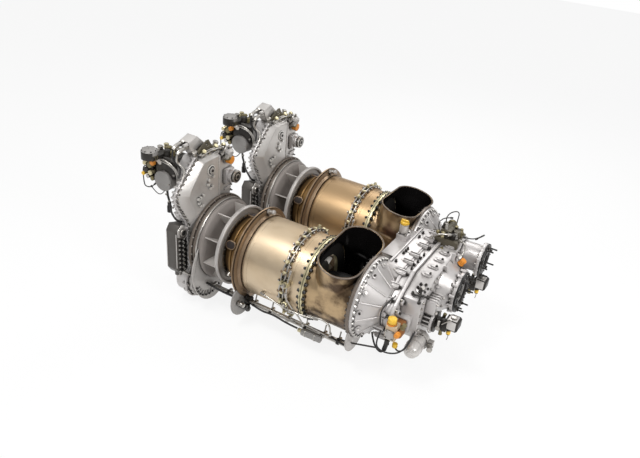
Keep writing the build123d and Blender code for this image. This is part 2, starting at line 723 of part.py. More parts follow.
def lifting_bracket(side):
    """Flat lifting bracket on the split flange, with one hole near its tip."""
    face = X_SPLIT
    foot = CASE_TOP - BODY_INSET + 1
    outline = polygon([(-100, foot), (-120, CASE_TOP + 22), (-56, CASE_TOP + 58),
                       (-38, CASE_TOP + 58), (10, foot)])
    return plate(outline, face, face + 5) - disc(face - 1, face + 6, 7, -52, CASE_TOP + 40)


def accessory_port(side):
    """Round port housing and breather on the stepped inner side of the cover."""
    face = X_SPLIT + SPLIT_FLANGE_T
    box = block(face, X_COVER + 4, 62, 124, 268, 342)
    port = disc(face, X_COVER + 22, 35, 100, 305) - disc(X_COVER + 8, X_COVER + 23, 24, 100, 305)
    return box + port + disc(face, X_COVER + 6, 24, 60, 432)


keep("fuel_controls", *both(fuel_control))
keep("oil_tanks", *both(oil_tank))
keep("exciter_boxes", *both(exciter_box))
keep("lifting_brackets", *both(lifting_bracket))
keep("accessory_ports", *both(accessory_port))
for name, side in SIDES.items():
    keep(f"{name}_fuel_lever", Pos(0, side * HALF, 0) * fuel_control_lever())


# Combining gearbox castings

ACCESSORY_TEETH = 14
ACCESSORY_MODULE = 6.0
ACCESSORY_ANGLE = 72.0
X_BOWL = X_GEARBOX + BOWL_START
TAIL_CENTRE = ACCESSORY_MODULE * ACCESSORY_TEETH
TAIL_Y = REDUCTION_Y + TAIL_CENTRE * cos(radians(ACCESSORY_ANGLE))
TAIL_Z = TAIL_CENTRE * sin(radians(ACCESSORY_ANGLE))
X_TAIL_GEAR = X_FRONT + 8.0
TAIL_GEAR_WIDTH = 18.0


def input_cone():
    """Outside of the input housing as one closed shape: a flange and a cone behind it."""
    front = X_GEARBOX + HOUSING_FLANGE_T
    return turned([(X_GEARBOX, 0), (X_GEARBOX, GEARBOX_FLANGE_R), (front, GEARBOX_FLANGE_R),
                   (front, INPUT_HOUSING_R), (X_BOWL, INPUT_HOUSING_R),
                   (X_MIDDLE, INPUT_HOUSING_NOSE_R), (X_MIDDLE, 0)])


def input_housing(side):
    """Cone from the exhaust flange down to the bulkhead with the power shaft's bearing."""
    slope = (INPUT_HOUSING_R - INPUT_HOUSING_NOSE_R) / (X_MIDDLE - X_BOWL)
    nose = X_MIDDLE - BULKHEAD_T
    inner = INPUT_HOUSING_R - INPUT_HOUSING_WALL
    space = turned([(X_GEARBOX, 0), (X_GEARBOX, inner), (X_BOWL, inner),
                    (nose, inner - slope * (nose - X_BOWL)), (nose, 0)])
    return input_cone() - space - disc(nose, X_MIDDLE, POWER_SHAFT_R + RUNNING_CLEARANCE)


def mirrored_outline(half):
    """Closed outline from its +Y half, listed from the top centre to the bottom centre."""
    return polygon(half + [(-y, z) for y, z in reversed(half) if y > 0])


def gear_space(x0, x1):
    """Space that the gears of the combining gearbox turn in."""
    add = TOOTH_HEIGHT * GEAR_MODULE + CAVITY_GAP
    space = disc(x0, x1, GEAR_MODULE * OUTPUT_TEETH / 2 + add)
    for side in SIDES.values():
        space += disc(x0, x1, GEAR_MODULE * REDUCTION_TEETH / 2 + add, side * REDUCTION_Y)
        space += disc(x0, x1, GEAR_MODULE * PINION_TEETH / 2 + add + 4, side * HALF)
    return space


def gearbox_rear_case():
    half = [(0, GEARBOX_TOP), (205, GEARBOX_TOP), (236, 112), (236, -130), (190, -165), (0, -165)]
    back = [(0, GEARBOX_TOP), (142, GEARBOX_TOP), (96, 88), (96, -110), (0, -110)]
    body = plate(mirrored_outline(half), X_BOWL, X_MIDDLE)
    body += plate(mirrored_outline(back), X_GEARBOX - REAR_CASE_BACK, X_BOWL)
    for side in SIDES.values():
        body -= Pos(0, side * HALF, 0) * input_cone()
    bore = disc(X_MIDDLE - 36, X_MIDDLE, OUTPUT_SHAFT_R + RUNNING_CLEARANCE)
    return body - bore


def middle_case_body():
    half = [(0, 140), (190, 140), (244, 110), (356, 46), (378, 20), (378, -95), (338, -150),
            (200, -185), (0, -185)]
    return plate(mirrored_outline(half), X_MIDDLE, X_FRONT)


def neck(x0, x1, waist, flange, y=0.0, z=0.0):
    """Ribless neck that ends in a pad flange."""
    return disc(x0, x1, waist, y, z) + disc(x1 - 16, x1, flange, y, z)


def governor_pads():
    """Adaptors that the governors are bolted to."""
    left, right = [neck(X_FRONT_FACE, GOVERNOR_PAD_X - FACE_PLATE_T, GOVERNOR_PAD_R - 8,
                        GOVERNOR_PAD_R, side * GOVERNOR_PAD_Y, GOVERNOR_PAD_Z)
                   for side in SIDES.values()]
    return left + right


def front_case_body():
    """Outside of the front case, before anything is bored."""
    half = [(0, 132), (176, 132), (296, 72), (306, 48), (306, -90), (268, -150), (180, -190),
            (0, -190)]
    body = plate(mirrored_outline(half), X_FRONT, X_FRONT_FACE)
    return body + disc(X_FRONT, X_FRONT_FACE, TAIL_DRIVE_R - 2, TAIL_Y, TAIL_Z)


def output_neck(bore):
    """Neck of the main output, from the front case to its stud face."""
    pad = -FACE_PLATE_T
    return turned([(X_FRONT_FACE, bore), (X_FRONT_FACE, OUTPUT_PAD_R + 38),
                   (-0.5 * OUTPUT_PAD_R, OUTPUT_PAD_R + 4), (pad - 20, OUTPUT_PAD_R - 8),
                   (pad - 16, OUTPUT_PAD_R), (pad, OUTPUT_PAD_R), (pad, bore)])


def tail_neck():
    """Neck of the second drive."""
    return neck(X_FRONT_FACE, TAIL_DRIVE_X - FACE_PLATE_T, TAIL_DRIVE_R - 18, TAIL_DRIVE_R,
                TAIL_Y, TAIL_Z) - output_neck(0) - governor_pads()


def gearbox_front_case():
    body = front_case_body()
    for side in SIDES.values():
        body -= disc(X_FRONT, X_FRONT_FACE - 12 + END_PLAY, REDUCTION_SHAFT_R + RUNNING_CLEARANCE,
                     side * REDUCTION_Y)
    body -= disc(X_FRONT, X_FRONT_FACE, OUTPUT_SHAFT_R + RUNNING_CLEARANCE)
    body -= disc(X_FRONT + 6, X_FRONT_FACE, TAIL_SHAFT_R + RUNNING_CLEARANCE, TAIL_Y, TAIL_Z)
    reach = TAIL_CENTRE / 2 + ACCESSORY_MODULE * TOOTH_HEIGHT + GEAR_GAP
    for y, z in ((REDUCTION_Y, 0), (TAIL_Y, TAIL_Z)):
        body -= disc(X_FRONT, X_TAIL_GEAR + TAIL_GEAR_WIDTH + 4, reach, y, z)
    return body


def tail_drive_shaft():
    """Accessory drive shaft with its gear and splined socket."""
    first = meshing(ACCESSORY_TEETH, ACCESSORY_TEETH, ACCESSORY_ANGLE, ACCESSORY_ANGLE)
    wheel = gear(ACCESSORY_TEETH, ACCESSORY_MODULE, X_TAIL_GEAR, TAIL_GEAR_WIDTH, first)
    shaft = disc(X_TAIL_GEAR, TAIL_DRIVE_X - FACE_PLATE_T, TAIL_SHAFT_R)
    socket = disc(TAIL_DRIVE_X - FACE_PLATE_T - 40, TAIL_DRIVE_X, TAIL_SHAFT_R - 8)
    return Pos(0, TAIL_Y, TAIL_Z) * (wheel + shaft - socket)


def face_plate(x, outer, inner, studs, circle, y=0.0, z=0.0):
    """Dark drive face with its ring of studs."""
    body = ring(x - FACE_PLATE_T, x, outer, inner, y, z)
    for dy, dz in around(studs, circle, 180 / studs):
        body += disc(x, x + STUD_LENGTH, STUD_R, y + dy, z + dz)
    return body


keep("input_housings", *both(input_housing))
keep("gearbox_rear_case", gearbox_rear_case())
keep("gearbox_middle_case", middle_case_body() - gear_space(X_MIDDLE - 1, X_FRONT + 1))
keep("gearbox_front_case", gearbox_front_case())
keep("output_neck", output_neck(OUTPUT_SHAFT_R + RUNNING_CLEARANCE) - governor_pads())
keep("tail_drive_neck", tail_neck() - disc(X_FRONT_FACE, TAIL_DRIVE_X,
                                           TAIL_SHAFT_R + RUNNING_CLEARANCE, TAIL_Y, TAIL_Z))
keep("governor_pads", governor_pads())
gearbox_outside = front_case_body() + middle_case_body() + output_neck(0) + tail_neck()
gearbox_outside += governor_pads()
keep("tail_drive_shaft", tail_drive_shaft())
keep("left_reduction_gear", Pos(0, REDUCTION_Y, 0) * gear(
    ACCESSORY_TEETH, ACCESSORY_MODULE, X_TAIL_GEAR, TAIL_GEAR_WIDTH, ACCESSORY_ANGLE)
    - disc(X_FRONT, X_FRONT_FACE, REDUCTION_SHAFT_R, REDUCTION_Y))
keep("drive_faces",
     face_plate(0, OUTPUT_PAD_R, OUTPUT_PAD_BORE_R, OUTPUT_STUDS, OUTPUT_PAD_R - 14),
     face_plate(TAIL_DRIVE_X, TAIL_DRIVE_R, TAIL_SHAFT_R + 12, TAIL_STUDS,
                TAIL_DRIVE_R - 13, TAIL_Y, TAIL_Z))


# Gearbox accessories

FILTER_R = 38.0
FILTER_X = -84.0
FILTER_Z = -158.0
FILTER_END = -372.0
CAP_X = X_GEARBOX - 12.0
CAP_Y = 44.0
NECK_TOP = 226.0
GOVERNOR_LEVER_R = 5.0


def governor(side):
    """Speed governor on its pad: round drive body, square head and outlet fitting."""
    y, z = side * GOVERNOR_PAD_Y, GOVERNOR_PAD_Z
    x = GOVERNOR_PAD_X
    base = disc(x - FACE_PLATE_T, x, GOVERNOR_PAD_R, y, z) + disc(x, x + 50, 30, y, z)
    head = block(x + 50, x + 104, y - 27, y + 27, z + 2, z + 56)
    head = chamfer(head.edges().filter_by(Axis.Y), 8)
    link = block(x + 42, x + 50, y - 24, y + 24, z - 20, z + 50)
    outlet = bar((x + 62, y, z - 40), (x + 62, y, z + 2), 9)
    bore = bar((x + 20, y + side * 40, z), (x + 20, y + side * 10, z),
               GOVERNOR_LEVER_R + RUNNING_CLEARANCE)
    return base + head + link + outlet - bore


def governor_lever(side):
    """Governor speed lever on the outer side of the governor."""
    y, z = side * GOVERNOR_PAD_Y, GOVERNOR_PAD_Z
    x = GOVERNOR_PAD_X + 20
    shaft = bar((x, y + side * 44, z), (x, y + side * 12, z), GOVERNOR_LEVER_R)
    hub = bar((x, y + side * 44, z), (x, y + side * 36, z), 11)
    near, far = sorted((y + side * 38, y + side * 43))
    arm = block(x - 5, x + 5, near, far, z, z + 40)
    return shaft + hub + arm


def oil_filter():
    """Domed filter bowl that points out of the gearbox's right side."""
    shell = Plane.XY * make_face(Polyline((0, -235), (FILTER_R, -235), (FILTER_R, FILTER_END + 30),
                                          (FILTER_R * 0.8, FILTER_END + 9), (18, FILTER_END),
                                          (0, FILTER_END), close=True))
    bowl = Pos(FILTER_X, 0, FILTER_Z) * revolve(shell, Axis.Y)
    head = bar((FILTER_X, -262, FILTER_Z), (FILTER_X, -235, FILTER_Z), FILTER_R + 8)
    lug = block(FILTER_X + 30, FILTER_X + 66, -262, -236, FILTER_Z - 16, FILTER_Z + 16)
    return bowl + head + lug - gearbox_outside


def torque_sensor():
    """Torque pressure valve block with capped fittings, on the gearbox's right side."""
    x0, x1, y = X_FRONT - 4, X_FRONT + 72, -432
    body = block(x0, x1, y, -290, -86, -8) - gearbox_outside
    top = bar((x0 + 22, y + 24, -8), (x0 + 22, y + 24, 14), 13)
    low = bar((x1 - 24, y + 26, -108), (x1 - 24, y + 26, -86), 13)
    side_cap = bar((x0 + 40, y - 16, -34), (x0 + 40, y, -34), 14)
    return body + top + low + side_cap


def filler_neck():
    return bar((CAP_X, CAP_Y, GEARBOX_TOP), (CAP_X, CAP_Y, NECK_TOP), 17) + block(
        CAP_X - 22, CAP_X + 30, CAP_Y - 30, CAP_Y + 30, GEARBOX_TOP, GEARBOX_TOP + 26)


def filler_cap():
    """Quarter-turn cap with a grip bar on its top."""
    cap = bar((CAP_X, CAP_Y, NECK_TOP + 0.3), (CAP_X, CAP_Y, NECK_TOP + 14), 20)
    return cap + block(CAP_X - 18, CAP_X + 18, CAP_Y - 4, CAP_Y + 4, NECK_TOP + 12, NECK_TOP + 22)


def control_valves():
    """Fuel control valve group on top of the gearbox's left side."""
    base = block(X_FRONT - 30, X_FRONT_FACE - 10, 128, 250, 60, 168)
    tower = block(X_FRONT - 10, X_FRONT + 40, 150, 204, 160, 206)
    drum = bar((X_FRONT + 16, 204, 184), (X_FRONT + 16, 262, 184), 22)
    can = bar((X_FRONT_FACE - 40, 190, 160), (X_FRONT_FACE - 40, 190, 200), 18)
    return base + tower + drum + can - gearbox_outside


keep("governors", governor(1), governor(-1))
for name, side in SIDES.items():
    keep(f"{name}_governor_lever", governor_lever(side))
keep("oil_filter", oil_filter())
keep("torque_sensor", torque_sensor())
keep("filler_neck", filler_neck())
keep("filler_cap", filler_cap())
keep("control_valves", control_valves())


# Pipes

PIPE_R = 8.0


def service_pipes(side):
    """Oil and drain pipes under the section, from lug to lug."""
    runs = []
    for y, z, r in ((-124, -222, PIPE_R), (-98, -232, 6.0)):
        runs.append(bar((X_FIREWALL + 8, y, z), (X_GEARBOX - 10, y, z), r))
        runs.append(bar((X_COVER, y, z), (X_FIREWALL - 4, y, z), r))
    return Compound(runs)


keep("service_pipes", *both(service_pipes))

os.makedirs("parts", exist_ok=True)
for name, solids in PARTS.items():
    export_step(Compound(children=solids), f"parts/{name}.step")
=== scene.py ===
"""Looks of a twin-pack turboshaft engine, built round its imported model.

Frame: +X points out of the main output drive, +Z is up, metres. The origin is the centre
of the output drive face. The left power section lies at +Y, the right one at -Y.
"""

import json
from math import cos, hypot, pi, radians, sin

import bmesh
import bpy
from bpy.props import FloatProperty, FloatVectorProperty, IntProperty, PointerProperty
from mathutils import Matrix, Vector


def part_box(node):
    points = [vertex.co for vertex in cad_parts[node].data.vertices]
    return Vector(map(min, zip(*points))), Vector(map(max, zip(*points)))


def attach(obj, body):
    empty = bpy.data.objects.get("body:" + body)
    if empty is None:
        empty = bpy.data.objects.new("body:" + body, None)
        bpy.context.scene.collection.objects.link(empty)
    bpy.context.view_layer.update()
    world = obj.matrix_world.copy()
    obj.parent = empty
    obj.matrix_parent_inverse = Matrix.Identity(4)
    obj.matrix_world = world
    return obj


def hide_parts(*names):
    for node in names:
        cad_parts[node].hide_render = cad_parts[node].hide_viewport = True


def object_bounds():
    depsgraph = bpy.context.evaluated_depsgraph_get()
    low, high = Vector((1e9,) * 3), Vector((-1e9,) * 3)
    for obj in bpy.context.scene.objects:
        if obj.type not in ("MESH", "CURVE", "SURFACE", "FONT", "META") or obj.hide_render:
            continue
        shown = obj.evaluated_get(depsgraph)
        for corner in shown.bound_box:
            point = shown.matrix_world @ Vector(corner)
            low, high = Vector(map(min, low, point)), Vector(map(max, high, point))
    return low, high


bl_info = {
    "name": "Twin Engine Looks",
    "version": (1, 0, 0),
    "blender": (4, 5, 0),
    "location": "View3D > Sidebar > Engine",
    "description": "Builds the visible pieces and finishes of a twin-pack turboshaft engine",
    "category": "Object",
}

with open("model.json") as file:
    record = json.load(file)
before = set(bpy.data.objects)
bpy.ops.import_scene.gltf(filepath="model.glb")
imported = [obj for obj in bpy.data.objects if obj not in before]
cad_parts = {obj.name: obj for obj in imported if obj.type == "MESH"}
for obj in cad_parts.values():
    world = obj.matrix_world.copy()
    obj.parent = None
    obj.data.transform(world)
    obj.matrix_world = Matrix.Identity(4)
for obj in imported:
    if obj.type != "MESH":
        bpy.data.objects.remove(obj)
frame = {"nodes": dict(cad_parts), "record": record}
CAD_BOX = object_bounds()
BODY = "engine"


def rgb(red, green, blue):
    """A colour given as 0 to 255 display values, as the linear colour that shaders take."""
    linear = []
    for value in (red, green, blue):
        c = value / 255
        linear.append(c / 12.92 if c <= 0.04045 else ((c + 0.055) / 1.055) ** 2.4)
    return (*linear, 1.0)


def span(node):
    """Lowest and highest corner of a CAD node."""
    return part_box(node)


def radius_of(node):
    """Radius of a round CAD node that both sections share, from its height."""
    low, high = span(node)
    return max(high.z, -low.z)


# Stations and radii taken from the frame
HALF = (span("inlet_cases")[1].y - span("inlet_cases")[0].y) / 2 - radius_of("inlet_cases")
SECTIONS = {"left": HALF, "right": -HALF}
SIGNS = {"left": 1, "right": -1}
RING_R = radius_of("inlet_cases")
LIP_R = radius_of("inlet_lips")
CASE_R = radius_of("gas_generator_cases")
X_COVER = span("inlet_cases")[0].x
X_LIP_BACK = span("inlet_lips")[0].x
X_FIREWALL = span("firewall_flanges")[0].x
X_CASE = span("gas_generator_cases")[0].x
X_CASE_END = span("gas_generator_cases")[1].x
X_EXHAUST = span("left_exhaust_duct")[0].x
X_GEARBOX = span("input_housings")[0].x
X_SPLIT = span("accessory_covers")[0].x
X_REAR = span("accessory_cases")[0].x
X_MIDDLE = span("gearbox_middle_case")[0].x
X_FRONT = span("gearbox_front_case")[0].x
X_FACE = span("gearbox_front_case")[1].x
TAIL_X = span("drive_faces")[1].x - 0.034
TAIL_LOW, TAIL_HIGH = span("tail_drive_neck")
TAIL_R = (TAIL_HIGH.z - TAIL_LOW.z) / 2
TAIL = (TAIL_HIGH.y - TAIL_R, TAIL_HIGH.z - TAIL_R)
GOVERNOR_Y = 0.200
GOVERNOR_Z = -0.066
CONTROL_X = X_REAR - 0.063
CONTROL_Z = 0.327

# Fire seal, with the centre and radius of its lug (y, z, radius) about the section's axis
SEAL_R = 0.237
LUG = (-0.140, -0.190, 0.096)
DUCT_LUG = (-0.095, -0.150, 0.092)
INLET_LUG = [(-0.205, 0.036), (-0.238, -0.020), (-0.256, -0.080), (-0.252, -0.140),
             (-0.230, -0.206), (-0.190, -0.268), (-0.140, -0.304), (-0.086, -0.314),
             (-0.042, -0.298), (-0.014, -0.258), (-0.002, -0.2088)]

# Angles in degrees past which an edge stays sharp
SHARP = 32.0
SHARP_DRESSED = 40.0
SHARP_COVER = 14.0


# Property groups

class EngineSizes(bpy.types.PropertyGroup):
    """Sizes that a user would change, in metres."""
    bolt_head: FloatProperty(
        name="Bolt head", description="Radius of the flange bolts' heads",
        default=0.0052, unit="LENGTH")
    small_bolt_head: FloatProperty(
        name="Small bolt head", description="Radius of the casting bolts' heads",
        default=0.0042, unit="LENGTH")
    flange_bolts: IntProperty(
        name="Flange bolts", description="Bolts round the turbine flange", default=36, min=4)
    wire_radius: FloatProperty(
        name="Wire", description="Radius of the thin sense lines and leads",
        default=0.0028, unit="LENGTH")


class EngineColours(bpy.types.PropertyGroup):
    """Colours that a user would change."""
    bronze: FloatVectorProperty(
        name="Case", description="Heat tinted steel of the section cases",
        subtype="COLOR", size=4, default=rgb(212, 193, 165))
    casting: FloatVectorProperty(
        name="Casting", description="Painted light alloy castings",
        subtype="COLOR", size=4, default=rgb(196, 192, 190))
    dark: FloatVectorProperty(
        name="Dark fittings", description="Dark anodised fittings",
        subtype="COLOR", size=4, default=rgb(46, 43, 40))
    floor: FloatVectorProperty(
        name="Floor", description="Plain pale floor",
        subtype="COLOR", size=4, default=rgb(250, 250, 250))


def sizes():
    return bpy.context.scene.engine_sizes


def colours():
    return bpy.context.scene.engine_colours


# Nodes

def add(tree, kind, inputs=None, **settings):
    """New node with its settings; each named input takes a value or a link from a socket."""
    node = tree.nodes.new(kind)
    for key, value in settings.items():
        setattr(node, key, value)
    for key, value in (inputs or {}).items():
        if isinstance(value, bpy.types.NodeSocket):
            tree.links.new(value, node.inputs[key])
        else:
            node.inputs[key].default_value = value
    return node


def calc(tree, operation, *values):
    """Result of a Math node."""
    return add(tree, "ShaderNodeMath", dict(enumerate(values)), operation=operation).outputs[0]


def new_group(kind, name, inputs, outputs):
    """Node group with named sockets; an input's value shows its type, or a word names it."""
    tree = bpy.data.node_groups.new(name, kind)

    def socket(label, way, sort):
        return tree.interface.new_socket(name=label, in_out=way, socket_type="NodeSocket" + sort)

    for label, value in inputs.items():
        if isinstance(value, str):
            socket(label, "INPUT", value)
            continue
        if isinstance(value, tuple):
            sort = "Color" if len(value) == 4 else "Vector"
        else:
            sort = "Int" if isinstance(value, int) else "Float"
        socket(label, "INPUT", sort).default_value = value
    for label, sort in outputs.items():
        socket(label, "OUTPUT", sort)
    return tree, tree.nodes.new("NodeGroupInput").outputs, tree.nodes.new("NodeGroupOutput").inputs


def noise_node(tree, vector, scale, detail=4.0):
    return add(tree, "ShaderNodeTexNoise", {
        "Detail": detail, "Roughness": 0.55, "Scale": scale, "Vector": vector}).outputs["Fac"]


def ramp(tree, value, low, high):
    """Value spread from low..high to 0..1."""
    return add(tree, "ShaderNodeMapRange", {"From Min": low, "From Max": high, "Value": value},
               interpolation_type="SMOOTHSTEP").outputs["Result"]


def mix_colour(tree, factor, first, second):
    """Mix of two colours; each is a socket or a plain colour."""
    return add(tree, "ShaderNodeMix", {0: factor, 6: first, 7: second}, data_type="RGBA").outputs[2]


def object_vector(tree, stretch=(1.0, 1.0, 1.0)):
    place = tree.nodes.new("ShaderNodeTexCoord").outputs["Object"]
    return add(tree, "ShaderNodeMapping", {"Scale": stretch, "Vector": place}).outputs["Vector"]


def along(tree, axis):
    """The object's X, Y or Z, in metres, as a value."""
    place = tree.nodes.new("ShaderNodeTexCoord").outputs["Object"]
    return add(tree, "ShaderNodeSeparateXYZ", {"Vector": place}).outputs[axis]


def surface_group():
    """Grain, grime and painted shade in dark crevices, from ambient occlusion, that every metal
    here shares.
    """
    tree, given, result = new_group("ShaderNodeTree", "Metal surface", {
        "Vector": (0, 0, 0), "Grain Scale": 400.0, "Colour": (0.5, 0.5, 0.5, 1),
        "Grime Colour": (0.1, 0.09, 0.08, 1), "Grime": 0.4, "Crevice": 0.8, "Roughness": 0.4},
        {"Colour": "Color", "Roughness": "Float", "Height": "Float"})
    grain = noise_node(tree, given["Vector"], given["Grain Scale"], 3.0)
    patches = ramp(tree, noise_node(tree, given["Vector"], 11.0, 6.0), 0.48, 0.72)
    dirt = calc(tree, "MULTIPLY", patches, given["Grime"])
    worn = mix_colour(tree, dirt, given["Colour"], given["Grime Colour"])
    # Painted shade: ambient occlusion darkens corners and crevices towards a near-black brown
    crevice_shade = add(tree, "ShaderNodeAmbientOcclusion", {"Distance": 0.016}, only_local=True,
                  samples=5)
    corner = ramp(tree, crevice_shade.outputs["AO"], 0.9, 0.4)
    depth = calc(tree, "MULTIPLY", corner, given["Crevice"])
    tree.links.new(mix_colour(tree, depth, worn, rgb(38, 33, 29)), result["Colour"])
    tree.links.new(calc(tree, "MULTIPLY_ADD", grain, 0.16, given["Roughness"]), result["Roughness"])
    tree.links.new(grain, result["Height"])
    return tree


# Finishes

def bronze_colour(tree):
    """Satin gold case, browner in slow clouds and at its ends; the left section is painted browner
    as painted shade.
    """
    vector = object_vector(tree, (0.5, 1.0, 1.0))
    cloud = ramp(tree, noise_node(tree, vector, 5.0, 3.0), 0.35, 0.7)
    base = mix_colour(tree, cloud, tuple(colours().bronze), rgb(196, 173, 141))
    # Painted shade: the left section's case, which lies further from the camera, is mixed to a
    # darker brown
    left = ramp(tree, along(tree, "Y"), -0.02, 0.02)
    base = mix_colour(tree, left, base, rgb(172, 144, 108))
    ends = ramp(tree, along(tree, "X"), X_CASE - 0.02, X_CASE - 0.04)
    return mix_colour(tree, ends, base, rgb(126, 98, 60))


def heat_colour(tree):
    """Heat tinted exhaust: brown, straw and violet clouds."""
    cloud = ramp(tree, noise_node(tree, object_vector(tree), 8.0, 6.0), 0.42, 0.62)
    base = mix_colour(tree, cloud, rgb(186, 160, 124), rgb(84, 66, 49))
    violet = ramp(tree, noise_node(tree, object_vector(tree, (1.3, 0.8, 1.0)), 4.0, 3.0), 0.52, 0.7)
    return mix_colour(tree, violet, base, rgb(104, 78, 62))


def soot_colour(tree):
    """Inside of the exhausts: nearly black with paler streaks down the wall."""
    streak = ramp(tree, noise_node(tree, object_vector(tree, (6.0, 6.0, 1.0)), 4.0, 4.0), 0.6, 0.8)
    return mix_colour(tree, streak, rgb(26, 24, 24), rgb(120, 116, 114))


# Name, metallic, colour (0 to 255, a colour property or a maker of nodes), roughness, grime,
# bump, grain scale and colour of the grime
FINISHES = {
    # The browner left section of this case is painted shade
    "bronze": ("Heat tinted case", 0.85, bronze_colour, 0.32, 0.12, 0.05, 160, (140, 110, 74)),
    "heat": ("Heat tinted exhaust", 0.85, heat_colour, 0.26, 0.35, 0.08, 120, (60, 46, 36)),
    "soot": ("Sooted exhaust wall", 0.6, soot_colour, 0.2, 0.2, 0.04, 90, (14, 13, 13)),
    "casting": ("Light alloy casting", 0.5, "casting", 0.3, 0.22, 0.2, 520, (150, 144, 138)),
    "grey": ("Grey alloy cover", 0.3, (150, 147, 144), 0.42, 0.3, 0.25, 520, (90, 84, 78)),
    "bright": ("Plated nut", 0.5, (226, 223, 218), 0.24, 0.1, 0.05, 300, (150, 144, 136)),
    "ash": ("Sooted cone", 0.2, (36, 34, 33), 0.4, 0.3, 0.05, 120, (20, 18, 17)),
    # Painted shade of the open bleed ports on the compressor cases
    "port_shade": ("Dark bleed cover", 0.0, (34, 22, 17), 0.55, 0.2, 0.05, 200, (30, 24, 20)),
    "tank": ("Grey cooler box", 0.4, (84, 80, 76), 0.36, 0.35, 0.1, 300, (70, 64, 58)),
    "amber": ("Brown valve body", 0.5, (150, 98, 54), 0.36, 0.4, 0.1, 300, (92, 58, 34)),
    "steel": ("Bright steel", 0.9, (184, 180, 174), 0.24, 0.25, 0.05, 300, (110, 100, 88)),
    "flange": ("Brown steel flange", 0.7, (140, 118, 94), 0.34, 0.4, 0.1, 300, (84, 66, 50)),
    "ring": ("Dark inlet ring", 0.5, (116, 106, 97), 0.4, 0.4, 0.15, 300, (66, 55, 47)),
    "wall": ("Grey inlet wall", 0.3, (138, 131, 126), 0.5, 0.3, 0.15, 400, (80, 72, 66)),
    "lip": ("Pale inlet lip", 0.4, (182, 178, 174), 0.42, 0.3, 0.15, 400, (112, 104, 98)),
    "vane": ("Inlet strut", 0.5, (200, 195, 190), 0.36, 0.2, 0.05, 400, (112, 104, 98)),
    "cover": ("Satin grey cover", 0.55, (202, 198, 194), 0.26, 0.2, 0.18, 520, (120, 112, 104)),
    "zinc": ("Plated fitting", 0.75, (206, 196, 160), 0.3, 0.45, 0.05, 300, (104, 90, 62)),
    "plate": ("Olive bracket", 0.3, (92, 86, 72), 0.42, 0.3, 0.1, 300, (60, 54, 44)),
    "hose": ("Black sleeve", 0.0, (38, 36, 36), 0.5, 0.3, 0.3, 700, (84, 78, 72)),
    "tan": ("Tan valve body", 0.3, (204, 182, 152), 0.42, 0.5, 0.15, 300, (136, 84, 46)),
    "dark": ("Dark fitting", 0.35, "dark", 0.36, 0.3, 0.15, 400, (92, 86, 76)),
    "olive": ("Olive plated fitting", 0.6, (128, 118, 84), 0.34, 0.4, 0.1, 400, (70, 62, 46)),
    "orange": ("Orange cap", 0.0, (222, 140, 44), 0.4, 0.2, 0.05, 300, (120, 70, 30)),
    "yellow": ("Yellow cap", 0.0, (236, 190, 60), 0.38, 0.15, 0.05, 300, (150, 110, 40)),
    "black": ("Black drive face", 0.2, (24, 23, 22), 0.36, 0.2, 0.1, 300, (70, 66, 60)),
}
# Strength of the painted shade that darkens crevices in every metal
CREVICE_SHADE = 0.85
BUMP_DEPTH = 0.0006
MATERIALS = {}


def make_material(surface, name, metallic, colour, roughness, grime, bump, grain, grime_colour):
    """Material on the shared surface group."""
    material = bpy.data.materials.new(name)
    material.use_nodes = True
    tree = material.node_tree
    if callable(colour):
        colour = colour(tree)
    elif isinstance(colour, str):
        colour = tuple(getattr(colours(), colour))
    else:
        colour = rgb(*colour)
    group = tree.nodes.new("ShaderNodeGroup")
    group.node_tree = surface
    for label, value in (("Crevice", CREVICE_SHADE), ("Grain Scale", grain), ("Grime", grime),
                         ("Grime Colour", rgb(*grime_colour)), ("Roughness", roughness)):
        group.inputs[label].default_value = value
    tree.links.new(object_vector(tree), group.inputs["Vector"])
    if isinstance(colour, tuple):
        group.inputs["Colour"].default_value = colour
    else:
        tree.links.new(colour, group.inputs["Colour"])
    shader = tree.nodes["Principled BSDF"]
    shader.inputs["Metallic"].default_value = metallic
    tree.links.new(group.outputs["Colour"], shader.inputs["Base Color"])
    tree.links.new(group.outputs["Roughness"], shader.inputs["Roughness"])
    relief = add(tree, "ShaderNodeBump", {"Strength": bump, "Distance": BUMP_DEPTH,
                                          "Height": group.outputs["Height"]})
    tree.links.new(relief.outputs["Normal"], shader.inputs["Normal"])
    return material


# Mesh helpers

def link(mesh, material=None, name="piece"):
    """Object of that mesh, in the scene, at the origin."""
    obj = bpy.data.objects.new(name, mesh)
    bpy.context.scene.collection.objects.link(obj)
    if material:
        mesh.materials.clear()
        mesh.materials.append(MATERIALS[material])
    return obj


def finish_mesh(mesh, angle=SHARP):
    """Normals out, smooth faces and sharp edges."""
    work = bmesh.new()
    work.from_mesh(mesh)
    bmesh.ops.remove_doubles(work, verts=work.verts, dist=1e-6)
    bmesh.ops.recalc_face_normals(work, faces=work.faces)
    work.to_mesh(mesh)
    work.free()
    mesh.shade_smooth()
    mesh.set_sharp_from_angle(angle=radians(angle))


def finished(work, material, angle=SHARP):
    """Object with the finished mesh of that work, which it frees."""
    mesh = bpy.data.meshes.new("piece")
    work.to_mesh(mesh)
    work.free()
    finish_mesh(mesh, angle)
    return link(mesh, material)


def bevel(work, edges, width, segments=2, **options):
    """Rounds edges, where the width isn't zero."""
    if width:
        bmesh.ops.bevel(work, geom=edges, offset=width, segments=segments, affect="EDGES",
                        profile=0.5, **options)


def sharp_edges(work, angle):
    return [e for e in work.edges if len(e.link_faces) == 2
            and e.calc_face_angle(0.0) > radians(angle)]


def pushed(work, points, way):
    """Face through the points, pushed along a way; gives its far corners."""
    base = work.faces.new([work.verts.new(p) for p in points])
    top = bmesh.ops.extrude_face_region(work, geom=[base])
    moved = [g for g in top["geom"] if isinstance(g, bmesh.types.BMVert)]
    bmesh.ops.translate(work, vec=way, verts=moved)
    return moved


def solid(points, faces, material):
    mesh = bpy.data.meshes.new("piece")
    mesh.from_pydata([tuple(p) for p in points], [], faces)
    finish_mesh(mesh)
    return link(mesh, material)


